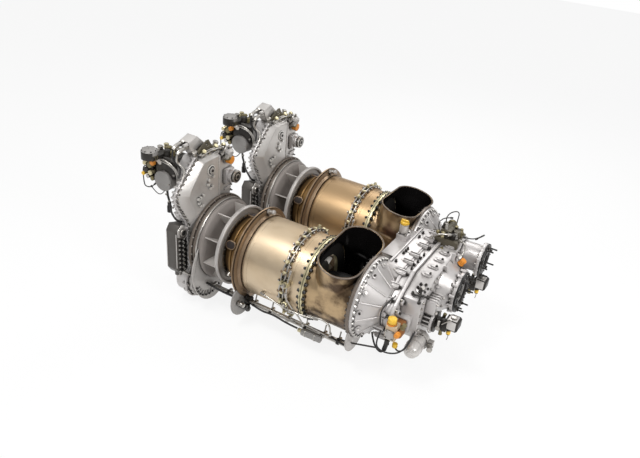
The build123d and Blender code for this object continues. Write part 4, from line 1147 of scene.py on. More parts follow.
def exhaust(name, y):
    """Exhaust of one section, with its rim, flange and walls."""
    side = SIGNS[name]
    drum = lathe([(X_EXHAUST - 0.002, 0.0), (X_EXHAUST - 0.002, DUCT_R),
        (X_EXHAUST + 0.01, DUCT_R), (X_EXHAUST + 0.02, DUCT_R - 0.004),
        (X_GEARBOX - 0.03, DUCT_R - 0.004), (X_GEARBOX - 0.012, DUCT_R - 0.001),
        (X_GEARBOX - 0.008, DUCT_R - 0.001), (X_GEARBOX - 0.008, 0.0)], "heat", y, steps=96)
    stub = loft(stub_rings(side, ((-0.012, 0.0, 0.0), (0.0, 0.0, 0.0), (0.05, 0.012, 0.006),
        (0.085, 0.026, 0.012), (0.118, 0.04, 0.01), (0.15, 0.03, -0.006))), "heat")
    skin = blended([drum, stub], side)
    place = port_frame(side, 0.001)
    rim = wire([place @ Vector((a, b, 0)) for a, b in obround(PORT_LENGTH + 0.004,
        PORT_WIDTH + 0.004, 32)], 0.003, "ring", closed=True)
    flange = lathe([(-0.016, 0.18), (-0.016, 0.199), (-0.013, 0.202), (-0.002, 0.202), (0, 0.199),
        (0, 0.18)], "ring", y, x=X_GEARBOX)
    nuts = bolt_ring(X_GEARBOX - 0.016, y, 0, 0.1925, 40, "dark", head=0.005, height=0.008,
        facing=-1)
    front = lathe([(-0.01, 0.056), (-0.01, 0.188), (-0.007, 0.188), (-0.007, 0.056)], "soot", y,
        x=X_GEARBOX)
    ly, lz, r = y + DUCT_LUG[0], *DUCT_LUG[1:]
    back = lathe([(0.0005, 0.121), (0.0005, 0.184), (0.003, 0.184), (0.003, 0.121)], "ash", y,
        x=X_EXHAUST)
    lug = rod_x(X_GEARBOX - 0.01, X_GEARBOX, ly, lz, r, "lip", 72, width=0.002)
    join(f"{name}_exhaust", [skin, rim, flange, nuts, front, back, lug],
        replaces=(f"{name}_exhaust_duct",))


class ENGINE_OT_exhausts(bpy.types.Operator):
    """Exhaust ducts: one blended sheet from drum to stub, with a rolled rim"""
    bl_idname = "engine.exhausts"
    bl_label = "Exhausts"

    def execute(self, context):
        return each_section(exhaust)


# Accessory gearboxes, one per section

CASE_EDGE = ((-0.132, 0.466), (-0.110, 0.472), (0.040, 0.472), (0.112, 0.436), (0.150, 0.345),
             (0.134, 0.160), (0.128, 0.140))

CASE_EDGE_LEFT = ((-0.190, 0.010), (-0.205, 0.150), (-0.268, 0.262), (-0.277, 0.316),
                  (-0.245, 0.358), (-0.132, 0.466))

SUMP = (-0.100, -0.210, 0.1144)


def inset_line(line, distance):
    """Open (y, z) line moved to its right by a distance."""
    found = []
    for i, point in enumerate(line):
        here = Vector(point)
        before = here - Vector(line[i - 1]) if i else Vector(line[1]) - here
        after = Vector(line[i + 1]) - here if i + 1 < len(line) else before
        way = (before.normalized() + after.normalized()).normalized()
        found.append(tuple(here + Vector((way.y, -way.x)) * distance))
    return found


def case_cover(y):
    """Cover with its wide bevel on the outer side and its recessed inner side."""
    rim = [(0.014, 0.0), (0.014, 0.458), (-0.106, 0.458), (-0.126, 0.453), (-0.234, 0.35),
        (-0.262, 0.316), (-0.254, 0.262), (-0.196, 0.155), (-0.178, 0.0)]
    face = [(0.014, 0.0), (0.014, 0.438), (-0.088, 0.438), (-0.103, 0.433), (-0.196, 0.328),
        (-0.207, 0.303), (-0.203, 0.284), (-0.15, 0.171), (-0.136, 0.0)]
    steps = ((X_SPLIT, grown_outline(rim, 0.004)), (X_SPLIT + 0.006, rim), (X_COVER, face))
    rings = [[(x, y + a, b) for a, b in outline] for x, outline in steps]
    bevelled = loft(rings, "cover")
    round_mesh(bevelled, 0.003)
    low = slab([(y + 0.006, 0.0), (y + 0.006, 0.458), (y + 0.034, 0.458), (y + 0.1, 0.426),
        (y + 0.136, 0.342), (y + 0.12, 0.16), (y + 0.12, 0.0)], X_SPLIT, X_SPLIT + 0.01, "cover",
        0.003)
    sump_y, sump_z, r = y + SUMP[0], *SUMP[1:]
    sump = rod_x(X_SPLIT, X_COVER - 0.004, sump_y, sump_z, r - 0.013, "lip", 64, width=0.006)
    yield bevelled
    yield low
    yield sump
    for k in range(9):
        a = polar(0.056, 170 + 22 * k, sump_y, sump_z)
        b = polar(0.092, 170 + 22 * k, sump_y, sump_z)
        yield rib(X_COVER - 0.005, a, b, 0.044, 0.006, 0.006, "lip")


def case_flange(y):
    """Bolts and bosses along the split flange."""
    x = X_SPLIT
    edge = inset_line(CASE_EDGE_LEFT, 0.0075)
    top = inset_line(CASE_EDGE, 0.0075)
    spots = spaced(edge, 0.026) + spaced(top, 0.03)
    for k in range(7):
        spots.append(polar(SUMP[2] - 0.0075, 180 + k * 24, SUMP[0], SUMP[1]))
    for k, (dy, dz) in enumerate(spots):
        yield rod_x(x - 0.022, x + 0.005, y + dy, dz, 0.0085, "casting", 16)
        if k % 4 == 1:
            yield rod_x(x + 0.004, x + 0.019, y + dy, dz, 0.0032, "dark", 10)
    points = [(x + 0.005, y + dy, dz) for dy, dz in spots]
    yield bolts(points, (1, 0, 0), head=0.0052, height=0.008)
    rear = [(x - 0.022, y + dy, dz) for dy, dz in spots]
    yield bolts(rear, (-1, 0, 0), head=0.005, height=0.007)


def cover_front(y):
    """Studs, blind cap and ridge on the bevelled front of the cover."""
    x = X_COVER
    stud_spots = ((-0.042, 0.351), (-0.073, 0.34), (-0.08, 0.318), (-0.051, 0.3), (-0.066, 0.296),
        (-0.117, 0.276), (-0.138, 0.271), (-0.154, 0.268), (-0.15, 0.246), (-0.139, 0.229),
        (-0.124, 0.226))
    points = [(x, y + a, b) for a, b in stud_spots]
    yield bolts(points, (1, 0, 0), "bright", 0.008, 0.012)
    cy, cz = y - 0.052, 0.384
    yield rod_x(x - 0.002, x + 0.004, cy, cz, 0.027, "bright", 40, width=0.0015)
    yield rod_x(x + 0.003, x + 0.0052, cy, cz, 0.021, "black", 36)
    yield rod_x(x + 0.004, x + 0.0085, cy, cz, 0.016, "cover", 32)
    yield rod_x(x + 0.008, x + 0.013, cy, cz, 0.007, "dark", 6)
    yield box((x - 0.018, y + 0.006, 0.222), (x + 0.003, y + 0.018, 0.44), "cover", 0.003)


def cover_side(y):
    """Port, caps and pipes on the recessed inner side of the cover."""
    x = X_SPLIT + 0.01
    py, pz = y + 0.112, 0.3
    yield rod_x(x + 0.03, x + 0.054, py, pz, 0.033, "steel", 44, width=0.002)
    yield rod_x(x + 0.0535, x + 0.0548, py, pz, 0.025, "black", 40)
    yield rod_x(x + 0.054, x + 0.057, py, pz, 0.017, "steel", 32)
    yield rod_x(x + 0.0565, x + 0.0585, py, pz, 0.01, "black", 24)
    yield rod_x(x + 0.01, x + 0.04, y + 0.086, 0.396, 0.021, "orange", 20, width=0.003)
    yield rod_x(x, x + 0.012, y + 0.086, 0.396, 0.024, "steel", 24)
    yield dome((x + 0.018, y + 0.068, 0.43), (0.35, 0.15, 1), 0.03, "lip", 0.036)
    yield rod((x + 0.018, y + 0.066, 0.404), (x + 0.018, y + 0.068, 0.432), 0.024, "olive", 24)
    yield from fitting((x + 0.01, y + 0.04, 0.42), (1, 0, 0.3), 0.012, "steel", 0.038)
    for z in (0.23, 0.262):
        yield boss((x, y + 0.096, z), (0, 1, 0), (1, 0, 0), 0.05, 0.014, 0.008, "casting")
    yield from pipe([(x + 0.02, y + 0.028, 0.436), (x + 0.04, y + 0.02, 0.47),
        (x + 0.034, y + 0.06, 0.486), (x + 0.03, y + 0.074, 0.462)], 0.004)


def case_top(y):
    """Row of unions and clamps along the top edge of the case."""
    x = X_SPLIT
    for k, (dy, z, size) in enumerate(((-0.118, 0.462, 0.012), (-0.086, 0.466, 0.01),
            (-0.04, 0.468, 0.013), (-0.006, 0.468, 0.01), (0.024, 0.466, 0.012),
            (0.05, 0.458, 0.01))):
        lean = 0.8 if k % 2 else 0.2, -0.3 + 0.12 * k, 1
        yield from fitting((x - 0.014 + 0.016 * (k % 2), y + dy, z), lean, size,
            "zinc" if k % 2 else "steel", 0.034)
    for shift in (0.0, 0.013):
        yield from pipe([(x + 0.012 + shift, y - 0.112, 0.474),
            (x + 0.022 + shift, y - 0.07, 0.492), (x + 0.026 + shift, y - 0.01, 0.486),
            (x + 0.016 + shift, y + 0.04, 0.474)], 0.0032)


def case_back(y):
    """Bolts and covers on the hidden rear of the case."""
    x = X_REAR
    points = [(x, y + p[0], p[1]) for p in spaced(inset_line(CASE_EDGE_LEFT, 0.028), 0.05)]
    yield bolts(points, (-1, 0, 0))
    for dy, dz, r in ((-0.11, 0.215, 0.034), (-0.1, -0.21, 0.05)):
        yield rod_x(x - 0.008, x, y + dy, dz, r, "casting", 40, width=0.002)
        yield bolt_ring(x - 0.008, y + dy, dz, r - 0.008, 6, head=0.004, facing=-1)


class ENGINE_OT_accessory_cases(bpy.types.Operator):
    """Accessory gearboxes: bevelled covers, split flange bolts, bosses and ports"""
    bl_idname = "engine.accessory_cases"
    bl_label = "Accessory gearboxes"

    def execute(self, context):
        pieces = [dressed("accessory_cases", "casting", 0.002)]
        pieces += [dressed(node, "casting", 0.0015) for node in ("accessory_ports",
            "starter_pads")]
        for y in SECTIONS.values():
            pieces += case_cover(y)
            pieces += case_flange(y)
            pieces += cover_front(y)
            pieces += cover_side(y)
            pieces += case_top(y)
            pieces += case_back(y)
        join("accessory_gearboxes", pieces,
            replaces=("accessory_cases", "accessory_covers", "accessory_ports", "starter_pads"))
        return {"FINISHED"}


def cooler_details(y):
    """Cells, cap, union and straps of one cooler box."""
    front = X_SPLIT - 0.01
    cells, ends = [], []
    for row in range(15):
        for column in range(4):
            dy = -0.246 + column * 0.0165 + (0.008 if row % 2 else 0.0)
            z = -0.112 + row * 0.0125
            (cells if (row + column) % 2 else ends).append((front, y + dy, z))
    yield bolts(cells, (1, 0, 0), "black", 0.0058, 0.004)
    yield bolts(ends, (1, 0, 0), "bright", 0.0044, 0.005)
    yield slab([(y - 0.262, 0.092), (y - 0.258, 0.126), (y - 0.228, 0.146), (y - 0.196, 0.128),
        (y - 0.196, 0.07), (y - 0.214, 0.062)], front, front + 0.006, "cover", 0.0015)
    cy, cz = y - 0.228, 0.106
    yield rod_x(front + 0.004, front + 0.016, cy, cz, 0.019, "steel", 32, width=0.002)
    yield rod_x(front + 0.0155, front + 0.018, cy, cz, 0.013, "black", 28)
    yield from fitting((front - 0.03, y - 0.222, -0.126), (0.1, 0, -1), 0.013, "steel", 0.03)
    yield from pipe([(front - 0.01, y - 0.214, -0.124), (front + 0.006, y - 0.205, -0.15),
        (front + 0.03, y - 0.176, -0.16), (front + 0.044, y - 0.15, -0.18)], 0.005)
    for x in (front + 0.001, front - 0.058):
        strap = [(x, y - 0.2665, -0.084), (x, y - 0.2665, 0.108)]
        yield wire(strap, 0.0028, "lip")


class ENGINE_OT_oil_tanks(bpy.types.Operator):
    """Oil cooler boxes with their dark cell pattern and round cap"""
    bl_idname = "engine.oil_tanks"
    bl_label = "Oil tanks"

    def execute(self, context):
        pieces = [dressed("oil_tanks", "tank", 0.003)]
        for y in SECTIONS.values():
            pieces += cooler_details(y)
        join("oil_coolers", pieces, replaces=("oil_tanks",))
        return {"FINISHED"}


def exciter_details(y):
    """Leads, bracket plate and bolts of one exciter box."""
    back = span("exciter_boxes")[0].x
    x = back + 0.018
    for k, lift in enumerate((0.0, -0.018)):
        at = x + 0.024 * k
        start = at, y - 0.14, 0.532 + lift
        elbow = at, y - 0.196, 0.54 + lift
        end = at - 0.004, y - 0.214, 0.518 + lift
        yield tube([start, elbow, end], 0.0095, "steel")
        yield rod((at, y - 0.168, 0.536 + lift), (at, y - 0.146, 0.533 + lift), 0.0125, "steel", 6)
        yield tube([end, (at - 0.006, y - 0.222, 0.486 + lift), (at - 0.004, y - 0.204, 0.45),
            (at + 0.03, y - 0.196, 0.42), (at + 0.034, y - 0.226, 0.388)], 0.0046,
            "steel" if k else "hose")
    yield slab([(y + a, b) for a, b in ((-0.112, 0.44), (-0.116, 0.482), (-0.092, 0.502),
        (-0.034, 0.511), (-0.024, 0.503), (0.016, 0.44))], X_SPLIT - 0.016, X_SPLIT - 0.012,
        "plate", 0.001)
    points = [(X_SPLIT - 0.012, y + dy, dz) for dy, dz in ((-0.084, 0.478), (-0.05, 0.476),
        (-0.012, 0.47), (-0.092, 0.456))]
    yield bolts(points, (1, 0, 0), head=0.006, height=0.008)
    lid = [(back + 0.008, y + dy, dz) for dy, dz in ((-0.14, 0.532), (-0.1, 0.548),
        (-0.03, 0.488))]
    yield bolts(lid, (-1, 0, 0), head=0.0034)


class ENGINE_OT_exciters(bpy.types.Operator):
    """Slanted exciter boxes with their lead elbows, and the lifting brackets"""
    bl_idname = "engine.exciters"
    bl_label = "Exciters"

    def execute(self, context):
        pieces = [dressed("exciter_boxes", "cover", 0.003),
            dressed("lifting_brackets", "plate", 0.001)]
        for y in SECTIONS.values():
            pieces += exciter_details(y)
        join("exciters", pieces, replaces=("exciter_boxes", "lifting_brackets"))
        return {"FINISHED"}


def control_drum(y):
    """Metering drum, with its band and the bellows cap above."""
    x, z = CONTROL_X, CONTROL_Z
    yield rod((x, y - 0.205, z), (x, y - 0.15, z), 0.0515, "grey", 56, width=0.004)
    yield rod((x, y - 0.152, z), (x, y - 0.072, z), 0.053, "grey", 56)
    yield rod((x, y - 0.156, z), (x, y - 0.148, z), 0.0545, "lip", 56)
    bx, by, bz = x - 0.027, y - 0.252, z + 0.128
    yield rod_z(bx, by, bz - 0.002, bz + 0.014, 0.0385, "olive", 12, width=0.002)
    yield rod_z(bx, by, bz + 0.014, bz + 0.024, 0.0383, "plate", 40)
    yield dome((bx, by, bz + 0.022), (0, 0, 1), 0.0385, "grey", 0.03)
    yield grown("ring", {"Count": 8, "Circle Radius": 0.033, "Head Radius": 0.0042,
        "Head Height": 0.012, "Centre": (bx, by, bz + 0.034), "Turn": (0.0, 0.0, 0.2),
        "Material": MATERIALS["dark"]})
    kx, ky, kz = x, y - 0.165, z + 0.12
    yield rod_z(kx, ky, kz, kz + 0.026, 0.017, "dark", 12)
    yield dome((kx, ky, kz + 0.018), (0, 0, 1), 0.011, "hose", 0.012)


def control_block(y):
    """Caps, unions and stacked valves on the back of the control."""
    x, z = CONTROL_X, CONTROL_Z
    back = x - 0.049
    yield rod((x - 0.058, y - 0.19, z + 0.078), (x - 0.058, y - 0.212, z + 0.078), 0.0125,
        "orange", 20, width=0.002)
    wall = y - 0.182 + 0.008
    for dx, dz, size, finish in ((-0.08, 0.06, 0.014, "olive"), (-0.104, 0.03, 0.013, "dark"),
            (-0.078, 0.02, 0.012, "zinc"), (-0.112, 0.062, 0.01, "zinc"),
            (-0.066, -0.006, 0.011, "olive"), (-0.094, -0.002, 0.01, "steel"),
            (-0.124, 0.004, 0.009, "yellow")):
        yield from fitting((x + dx, wall, z + dz), (0, -1, 0), size, finish, 0.032)
    for k, (dx, dy, size) in enumerate(((-0.03, -0.12, 0.015), (-0.066, -0.14, 0.013),
            (-0.064, -0.1, 0.011), (0.02, -0.15, 0.012), (0.026, -0.11, 0.014),
            (-0.01, -0.088, 0.011))):
        yield from fitting((x + dx, y + dy, z + 0.118), (0, 0, 1), size,
            ("olive", "steel", "zinc")[k % 3], 0.026)
    for k in range(3):
        yield rod_z(back - 0.03 - 0.016 * k, y - 0.186, z + 0.012, z + 0.07, 0.0062,
            ("dark", "plate", "olive")[k], 16)
    yield from fitting((x - 0.125, y - 0.15, z + 0.004), (-1, 0, 0), 0.009, "zinc", 0.02)


def control_lines(y):
    """Sense lines, feed pipes and the plug that hangs below the drum."""
    x, z = CONTROL_X, CONTROL_Z
    thin = sizes().wire_radius
    yield from pipe(placed((x, y, z), (-0.082, -0.184, 0.056), (-0.128, -0.186, 0.04),
        (-0.142, -0.186, 0.018), (-0.142, -0.184, -0.058), (-0.134, -0.182, -0.078),
        (-0.096, -0.18, -0.072), (-0.072, -0.176, -0.044)), thin, "dark")
    yield from pipe(placed((x, y, z), (-0.098, -0.18, -0.064), (-0.076, -0.18, -0.086),
        (-0.044, -0.18, -0.096), (-0.02, -0.178, -0.076), (-0.008, -0.17, -0.052)), thin * 0.8,
        "dark")
    for k in range(2):
        lift = 0.01 * k
        yield from pipe([(x - 0.036, y - 0.186, z + 0.092 + lift),
            (x - 0.01, y - 0.2, z + 0.104 + lift), (x + 0.04, y - 0.2, z + 0.098 + lift),
            (x + 0.076 + lift, y - 0.196, z + 0.078), (x + 0.096 + lift, y - 0.2, z + 0.04),
            (x + 0.1 + lift, y - 0.214, z)], 0.004)
    yield tube(placed((x, y, z), (0.006, -0.18, -0.052), (0.01, -0.184, -0.08),
        (0.022, -0.186, -0.1), (0.022, -0.186, -0.12)), 0.0055, "hose")
    yield rod_z(x + 0.022, y - 0.186, z - 0.112, z - 0.134, 0.0095, "dark", 12)
    yield rod_z(x + 0.022, y - 0.186, z - 0.132, z - 0.166, 0.012, "black", 20, width=0.002)
    yield tube(placed((x, y, z), (0.024, -0.184, -0.11), (0.05, -0.214, -0.12),
        (0.094, -0.244, -0.134), (0.104, -0.222, -0.176), (0.11, -0.17, -0.2),
        (0.118, -0.13, -0.19)), 0.005, "hose")


class ENGINE_OT_fuel_controls(bpy.types.Operator):
    """Fuel controls: grey metering drum, dark valve blocks, bellows cap and sense lines"""
    bl_idname = "engine.fuel_controls"
    bl_label = "Fuel controls"

    def execute(self, context):
        pieces = [dressed("fuel_controls", "dark", 0.0025)]
        for y in SECTIONS.values():
            pieces += control_drum(y)
            pieces += control_block(y)
            pieces += control_lines(y)
        join("fuel_controls_dressed", pieces, replaces=("fuel_controls",))
        return {"FINISHED"}


# Castings of the combining gearbox

def half_edge(half):
    """Closed (y, z) outline from its +Y half, listed from the top centre to the bottom centre."""
    return list(half) + [(-y, z) for y, z in reversed(half) if y > 0]


MIDDLE_EDGE = half_edge([(0, 0.140), (0.190, 0.140), (0.244, 0.110), (0.356, 0.046),
                         (0.378, 0.020), (0.378, -0.095), (0.338, -0.150), (0.200, -0.185),
                         (0, -0.185)])

FRONT_EDGE = half_edge([(0, 0.132), (0.176, 0.132), (0.296, 0.072), (0.306, 0.048),
                        (0.306, -0.090), (0.268, -0.150), (0.180, -0.190), (0, -0.190)])


def edge_spots(outline, spacing):
    """Points at even spacing along a closed (y, z) outline, each with its outward normal."""
    sign = turning(outline)
    found, carry = [], spacing / 2
    for start, end in zip(outline, [*outline[1:], outline[0]]):
        a, b = Vector(start), Vector(end)
        way = (b - a).normalized()
        place = carry
        while place < (b - a).length:
            found.append((tuple(a + way * place), (way.y * sign, -way.x * sign)))
            place += spacing
        carry = place - (b - a).length
    return found


def gearbox_seams():
    """Raised flanges where the cases meet, with a boss and its bolts at each step."""
    for x in (X_MIDDLE, X_FRONT):
        yield slab(grown_outline(MIDDLE_EDGE, 0.0045), x - 0.0075, x + 0.0075, "casting", 0.0015)
    heads, nuts = [], []
    for (y, z), (ny, nz) in edge_spots(MIDDLE_EDGE, 0.074):
        up = 0, ny, nz
        yield boss((X_MIDDLE - 0.003, y, z), (1, 0, 0), up, 0.052, 0.031, 0.015, "casting", 0.0035)
        for shift in (-0.0085, 0.0085):
            yield boss((X_MIDDLE - 0.003, y - shift * nz, z + shift * ny), (1, 0, 0), up, 0.05,
                0.0055, 0.0195, "casting", 0.0015)
        heads.append((X_MIDDLE + 0.023, y + ny * 0.007, z + nz * 0.007))
        nuts.append((X_MIDDLE - 0.03, y + ny * 0.007, z + nz * 0.007))
    yield bolts(heads, (1, 0, 0), "dark", 0.0064, 0.01)
    yield bolts(nuts, (-1, 0, 0), "steel", 0.0062, 0.009)
    spots = [(X_FRONT + 0.0075, y - ny * 0.004, z - nz * 0.004)
        for (y, z), (ny, nz) in edge_spots(MIDDLE_EDGE, 0.056) if not (abs(y) < 0.3 and z > 0.05)]
    yield bolts(spots, (1, 0, 0), "steel", 0.0058, 0.009)
    for (y, z), (ny, nz) in edge_spots(MIDDLE_EDGE, 0.058):
        if abs(y) < 0.29 and z > 0.04:
            continue
        foot = y - ny * 0.02, z - nz * 0.02
        yield rod_x(X_FRONT, X_FRONT + 0.024, *foot, 0.0135, "casting", 20, width=0.002)
        yield rod_x(X_FRONT + 0.023, X_FRONT + 0.033, *foot, 0.0068, "dark", 6, width=0.001)


def gearbox_top():
    """Bosses, studs, bolt ring and dark bracket on the upper faces."""
    studs = []
    slope = 26.6
    for y in (-0.165, -0.089, -0.015, 0.06, 0.134):
        x = X_FRONT + 0.056
        yield boss((x, y, 0.131), (1, 0, 0), (0, 0, 1), 0.052, 0.03, 0.008, "casting", 0.003)
        yield boss((x + 0.006, y, 0.131), (1, 0, 0), (0, 0, 1), 0.036, 0.018, 0.014, "casting",
            0.003)
        studs.append((x + 0.016, y, 0.145))
    yield bolts(studs, (0, 0, 1), "dark", 0.005, 0.007)
    dark = [(X_MIDDLE + 0.03, y, 0.14) for y in (-0.176, -0.104, -0.03, 0.044, 0.118)]
    yield bolts(dark, (0, 0, 1), "dark", 0.0052, 0.014)
    centre = Vector((X_FACE - 0.027, -0.238, 0.103))
    up = Vector((0, -sin(radians(slope)), cos(radians(slope))))
    yield rod(centre - up * 0.002, centre + up * 0.006, 0.031, "casting", 36, width=0.002)
    yield grown("ring", {"Count": 6, "Circle Radius": 0.0225, "Head Radius": 0.0056,
        "Head Height": 0.009, "Centre": tuple(centre + up * 0.006),
        "Turn": (radians(slope), 0.0, 0.3), "Material": MATERIALS["dark"]})
    yield dome(centre + up * 0.005, up, 0.012, "vane", 0.008)
    cross = centre + Vector((0.006, -0.038, -0.019))
    for way in (Vector((1.0, 0.16, 0.08)), Vector((0.3, -0.9, -0.45))):
        away = way.normalized() * 0.034
        yield tube([cross - away + up * 0.01, cross + up * 0.014, cross + away + up * 0.01],
            0.0042, "dark")
    spots = [cross + Vector((dx, dy, 0.5 * dy)) + up * 0.008
        for dx, dy in ((-0.034, 0.0), (0.034, 0.006), (-0.01, 0.028), (0.01, -0.03))]
    yield bolts(spots, tuple(up), "dark", 0.0066, 0.012)


def gearbox_front():
    """Ribs, covers and bolts on the front faces round the drive necks."""
    seam = edge_spots(FRONT_EDGE, 0.04)
    points = [(X_FACE, y - ny * 0.011, z - nz * 0.011) for (y, z), (ny, nz) in seam]
    yield bolts(points, (1, 0, 0), "steel", 0.0054, 0.008)
    for k in range(10):
        angle = 36 * k + 8
        a, b = polar(0.118, angle), polar(0.172, angle)
        yield rib(X_FACE, a, b, 0.06, 0.009, 0.018, "casting", 0.003)
    yield box((X_FACE - 0.004, -0.246, -0.01), (X_FACE + 0.05, -0.158, 0.06), "casting", 0.007)
    for k in range(4):
        y = -0.236 + 0.02 * k
        yield box((X_FACE, y, 0.052), (X_FACE + 0.0515, y + 0.006, 0.0645), "casting", 0.002)
    yield bolts([(X_FACE + 0.05, y, z) for y, z in ((-0.236, 0.004), (-0.168, 0.004),
        (-0.236, 0.048), (-0.168, 0.048))], (1, 0, 0), "vane", 0.0064, 0.009)
    yield bolt_ring(-0.0255, 0, 0, 0.0965, 24, "steel", 0.004, 0.006, facing=-1)
    for k in range(12):
        a = polar(0.103, 30 * k + 15)
        yield rod((-0.034, a[0], a[1]), (-0.01, a[0] * 0.965, a[1] * 0.965), 0.0085, "casting", 16)
    for y, z in ((-GOVERNOR_Y, GOVERNOR_Z), (GOVERNOR_Y, GOVERNOR_Z)):
        x = X_FACE + 0.003
        for k in range(11):
            a, b = polar(0.049, 5 + 17 * k, y, z), polar(0.056, 5 + 17 * k, y, z)
            yield boss((x + 0.017, *a), (1, 0, 0), (0, b[0] - a[0], b[1] - a[1]), 0.034, 0.0065,
                0.016, "casting", 0.002)
        yield lathe([(0.031, 0.03), (0.031, 0.058), (0.033, 0.06), (0.04, 0.06), (0.042, 0.058),
            (0.042, 0.03)], "casting", y, z, x=x, steps=64)
        yield bolt_ring(X_FACE + 0.04, y, z, 0.046, 8, "steel", 0.0046)
    y, z = TAIL
    for k in range(10):
        a = polar(0.0775, 36 * k + 10)
        yield rod_x(0.0, 0.02, y + a[0], z + a[1], 0.0095, "casting", 16)
    yield bolt_ring(0.001, y, z, 0.079, 10, "steel", 0.0046, facing=-1, start=10)


def gearbox_rear():
    """Ribs and bolts on the rear case between the power sections."""
    top = span("gearbox_rear_case")[1].z
    yield slab([(-0.194, top - 0.006), (0.194, top - 0.006), (0.192, top + 0.0055),
        (-0.192, top + 0.0055)], X_MIDDLE - 0.078, X_MIDDLE - 0.066, "casting", 0.003)
    spots = [(X_MIDDLE - 0.05, y, top) for y in (-0.176, -0.09, -0.066, -0.042, 0.098, 0.146)]
    yield bolts(spots, (0, 0, 1), "dark", 0.006, 0.012)
    back = span("gearbox_rear_case")[0].x
    face = [(back, y, z) for y in (-0.08, 0.08) for z in (-0.09, -0.03, 0.03, 0.08)]
    yield bolts(face, (-1, 0, 0), "steel", 0.0054, 0.008)


class ENGINE_OT_gearbox(bpy.types.Operator):
    """Combining gearbox castings with their seams, rows of bosses, bolts and ribs"""
    bl_idname = "engine.gearbox"
    bl_label = "Gearbox castings"

    def execute(self, context):
        nodes = ("gearbox_rear_case", "gearbox_middle_case", "gearbox_front_case", "output_neck",
            "tail_drive_neck", "governor_pads")
        pieces = [dressed(node, "casting", 0.0024) for node in nodes]
        pieces += gearbox_seams()
        pieces += gearbox_top()
        pieces += gearbox_front()
        pieces += gearbox_rear()
        join("gearbox_castings", pieces, replaces=nodes)
        return {"FINISHED"}


def governor(side):
    """Grey head, link plates, springs and the yellow tipped outlet of one governor."""
    y, z = side * GOVERNOR_Y, GOVERNOR_Z
    yield box((0.0125, y - 0.0275, z + 0.0015), (0.0615, y + 0.0275, z + 0.0565), "cover", 0.006)
    yield rod_z(0.037, y, z + 0.056, z + 0.064, 0.014, "steel", 24)
    yield rod_z(0.025, y, z - 0.018, z - 0.036, 0.0105, "yellow", 16)
    yield tube([(0.025, y, z - 0.034), (0.03, y - 0.004, z - 0.052), (0.026, y - 0.01, z - 0.066)],
        0.002, "steel")
    yield bolts([(0.0615, y + dy, z + dz) for dy in (-0.018, 0.018) for dz in (0.012, 0.046)],
        (1, 0, 0), "dark", 0.0038, 0.005)
    for k, (dx, dy, dz, size) in enumerate(((-0.03, -0.02, 0.03, 0.009),
            (-0.016, 0.018, 0.034, 0.008), (-0.004, -0.022, 0.04, 0.0075),
            (-0.024, 0.022, -0.026, 0.009), (-0.01, -0.016, -0.03, 0.008))):
        yield from fitting((dx, y + dy, z + dz * 0.5), (0.1, dy * 4, dz * 20), size,
            ("dark", "olive", "dark")[k % 3], 0.03)
    for k in range(5):
        x = -0.034 + 0.008 * k
        yield lathe([(0, 0.024), (0.002, 0.0315), (0.005, 0.0315), (0.0065, 0.024)], "dark", y, z,
            x=x, steps=40)
    yield tube([(-0.006, y + side * 0.03, z + 0.02), (0.012, y + side * 0.031, z + 0.044),
        (0.034, y + side * 0.03, z + 0.058)], 0.0026, "steel")


class ENGINE_OT_drives(bpy.types.Operator):
    """Dark drive faces with their nuts, and the governors on their pads"""
    bl_idname = "engine.drives"
    bl_label = "Drives and governors"

    def execute(self, context):
        pieces = [dressed("drive_faces", "black", 0.0008)]
        for x, y, z, circle, count, start in ((0.0, 0.0, 0.0, 0.086, 8, 22.5),
                (TAIL_X, *TAIL, 0.073, 5, 36.0)):
            pieces.append(bolt_ring(x, y, z, circle, count, "dark", 0.0082, 0.009, start=start))
            pieces.append(bolt_ring(x, y, z, circle + 0.001, count * 2, "steel", 0.0036, 0.005,
                start=start + 180 / count / 2))
            pieces.append(lathe([(-0.001, circle - 0.03), (-0.001, circle - 0.014),
                (0.0035, circle - 0.015), (0.0035, circle - 0.029)], "dark", y, z, x=x, steps=96))
        join("drive_faces_dressed", pieces, replaces=("drive_faces",))
        pieces = [dressed("governors", "dark", 0.0012)]
        for side in (-1, 1):
            pieces += governor(side)
        join("governors_dressed", pieces, replaces=("governors",))
        return {"FINISHED"}


def oil_filter():
    """Long filter bowl, with its end cap, collar and nuts."""
    low, high = span("oil_filter")
    x, z, end = low.x + 0.046, (low.z + high.z) / 2, low.y
    yield dressed("oil_filter", "cover", 0.002)
    yield dome((x, end + 0.004, z), (0, -1, 0), 0.012, "cover", 0.008)
    yield lathe_y((x, end + 0.06, z), [(0.0, 0.034), (0.0, 0.0392), (0.006, 0.0398),
        (0.01, 0.034)], "lip")
    for k in range(6):
        a = polar(0.041, 60 * k + 20)
        yield rod((x + a[0], high.y - 0.03, z + a[1]), (x + a[0], high.y - 0.016, z + a[1]), 0.006,
            "steel", 6)
    yield from fitting((x + 0.056, high.y - 0.03, z), (0.3, -1, 0), 0.012, "steel", 0.034)


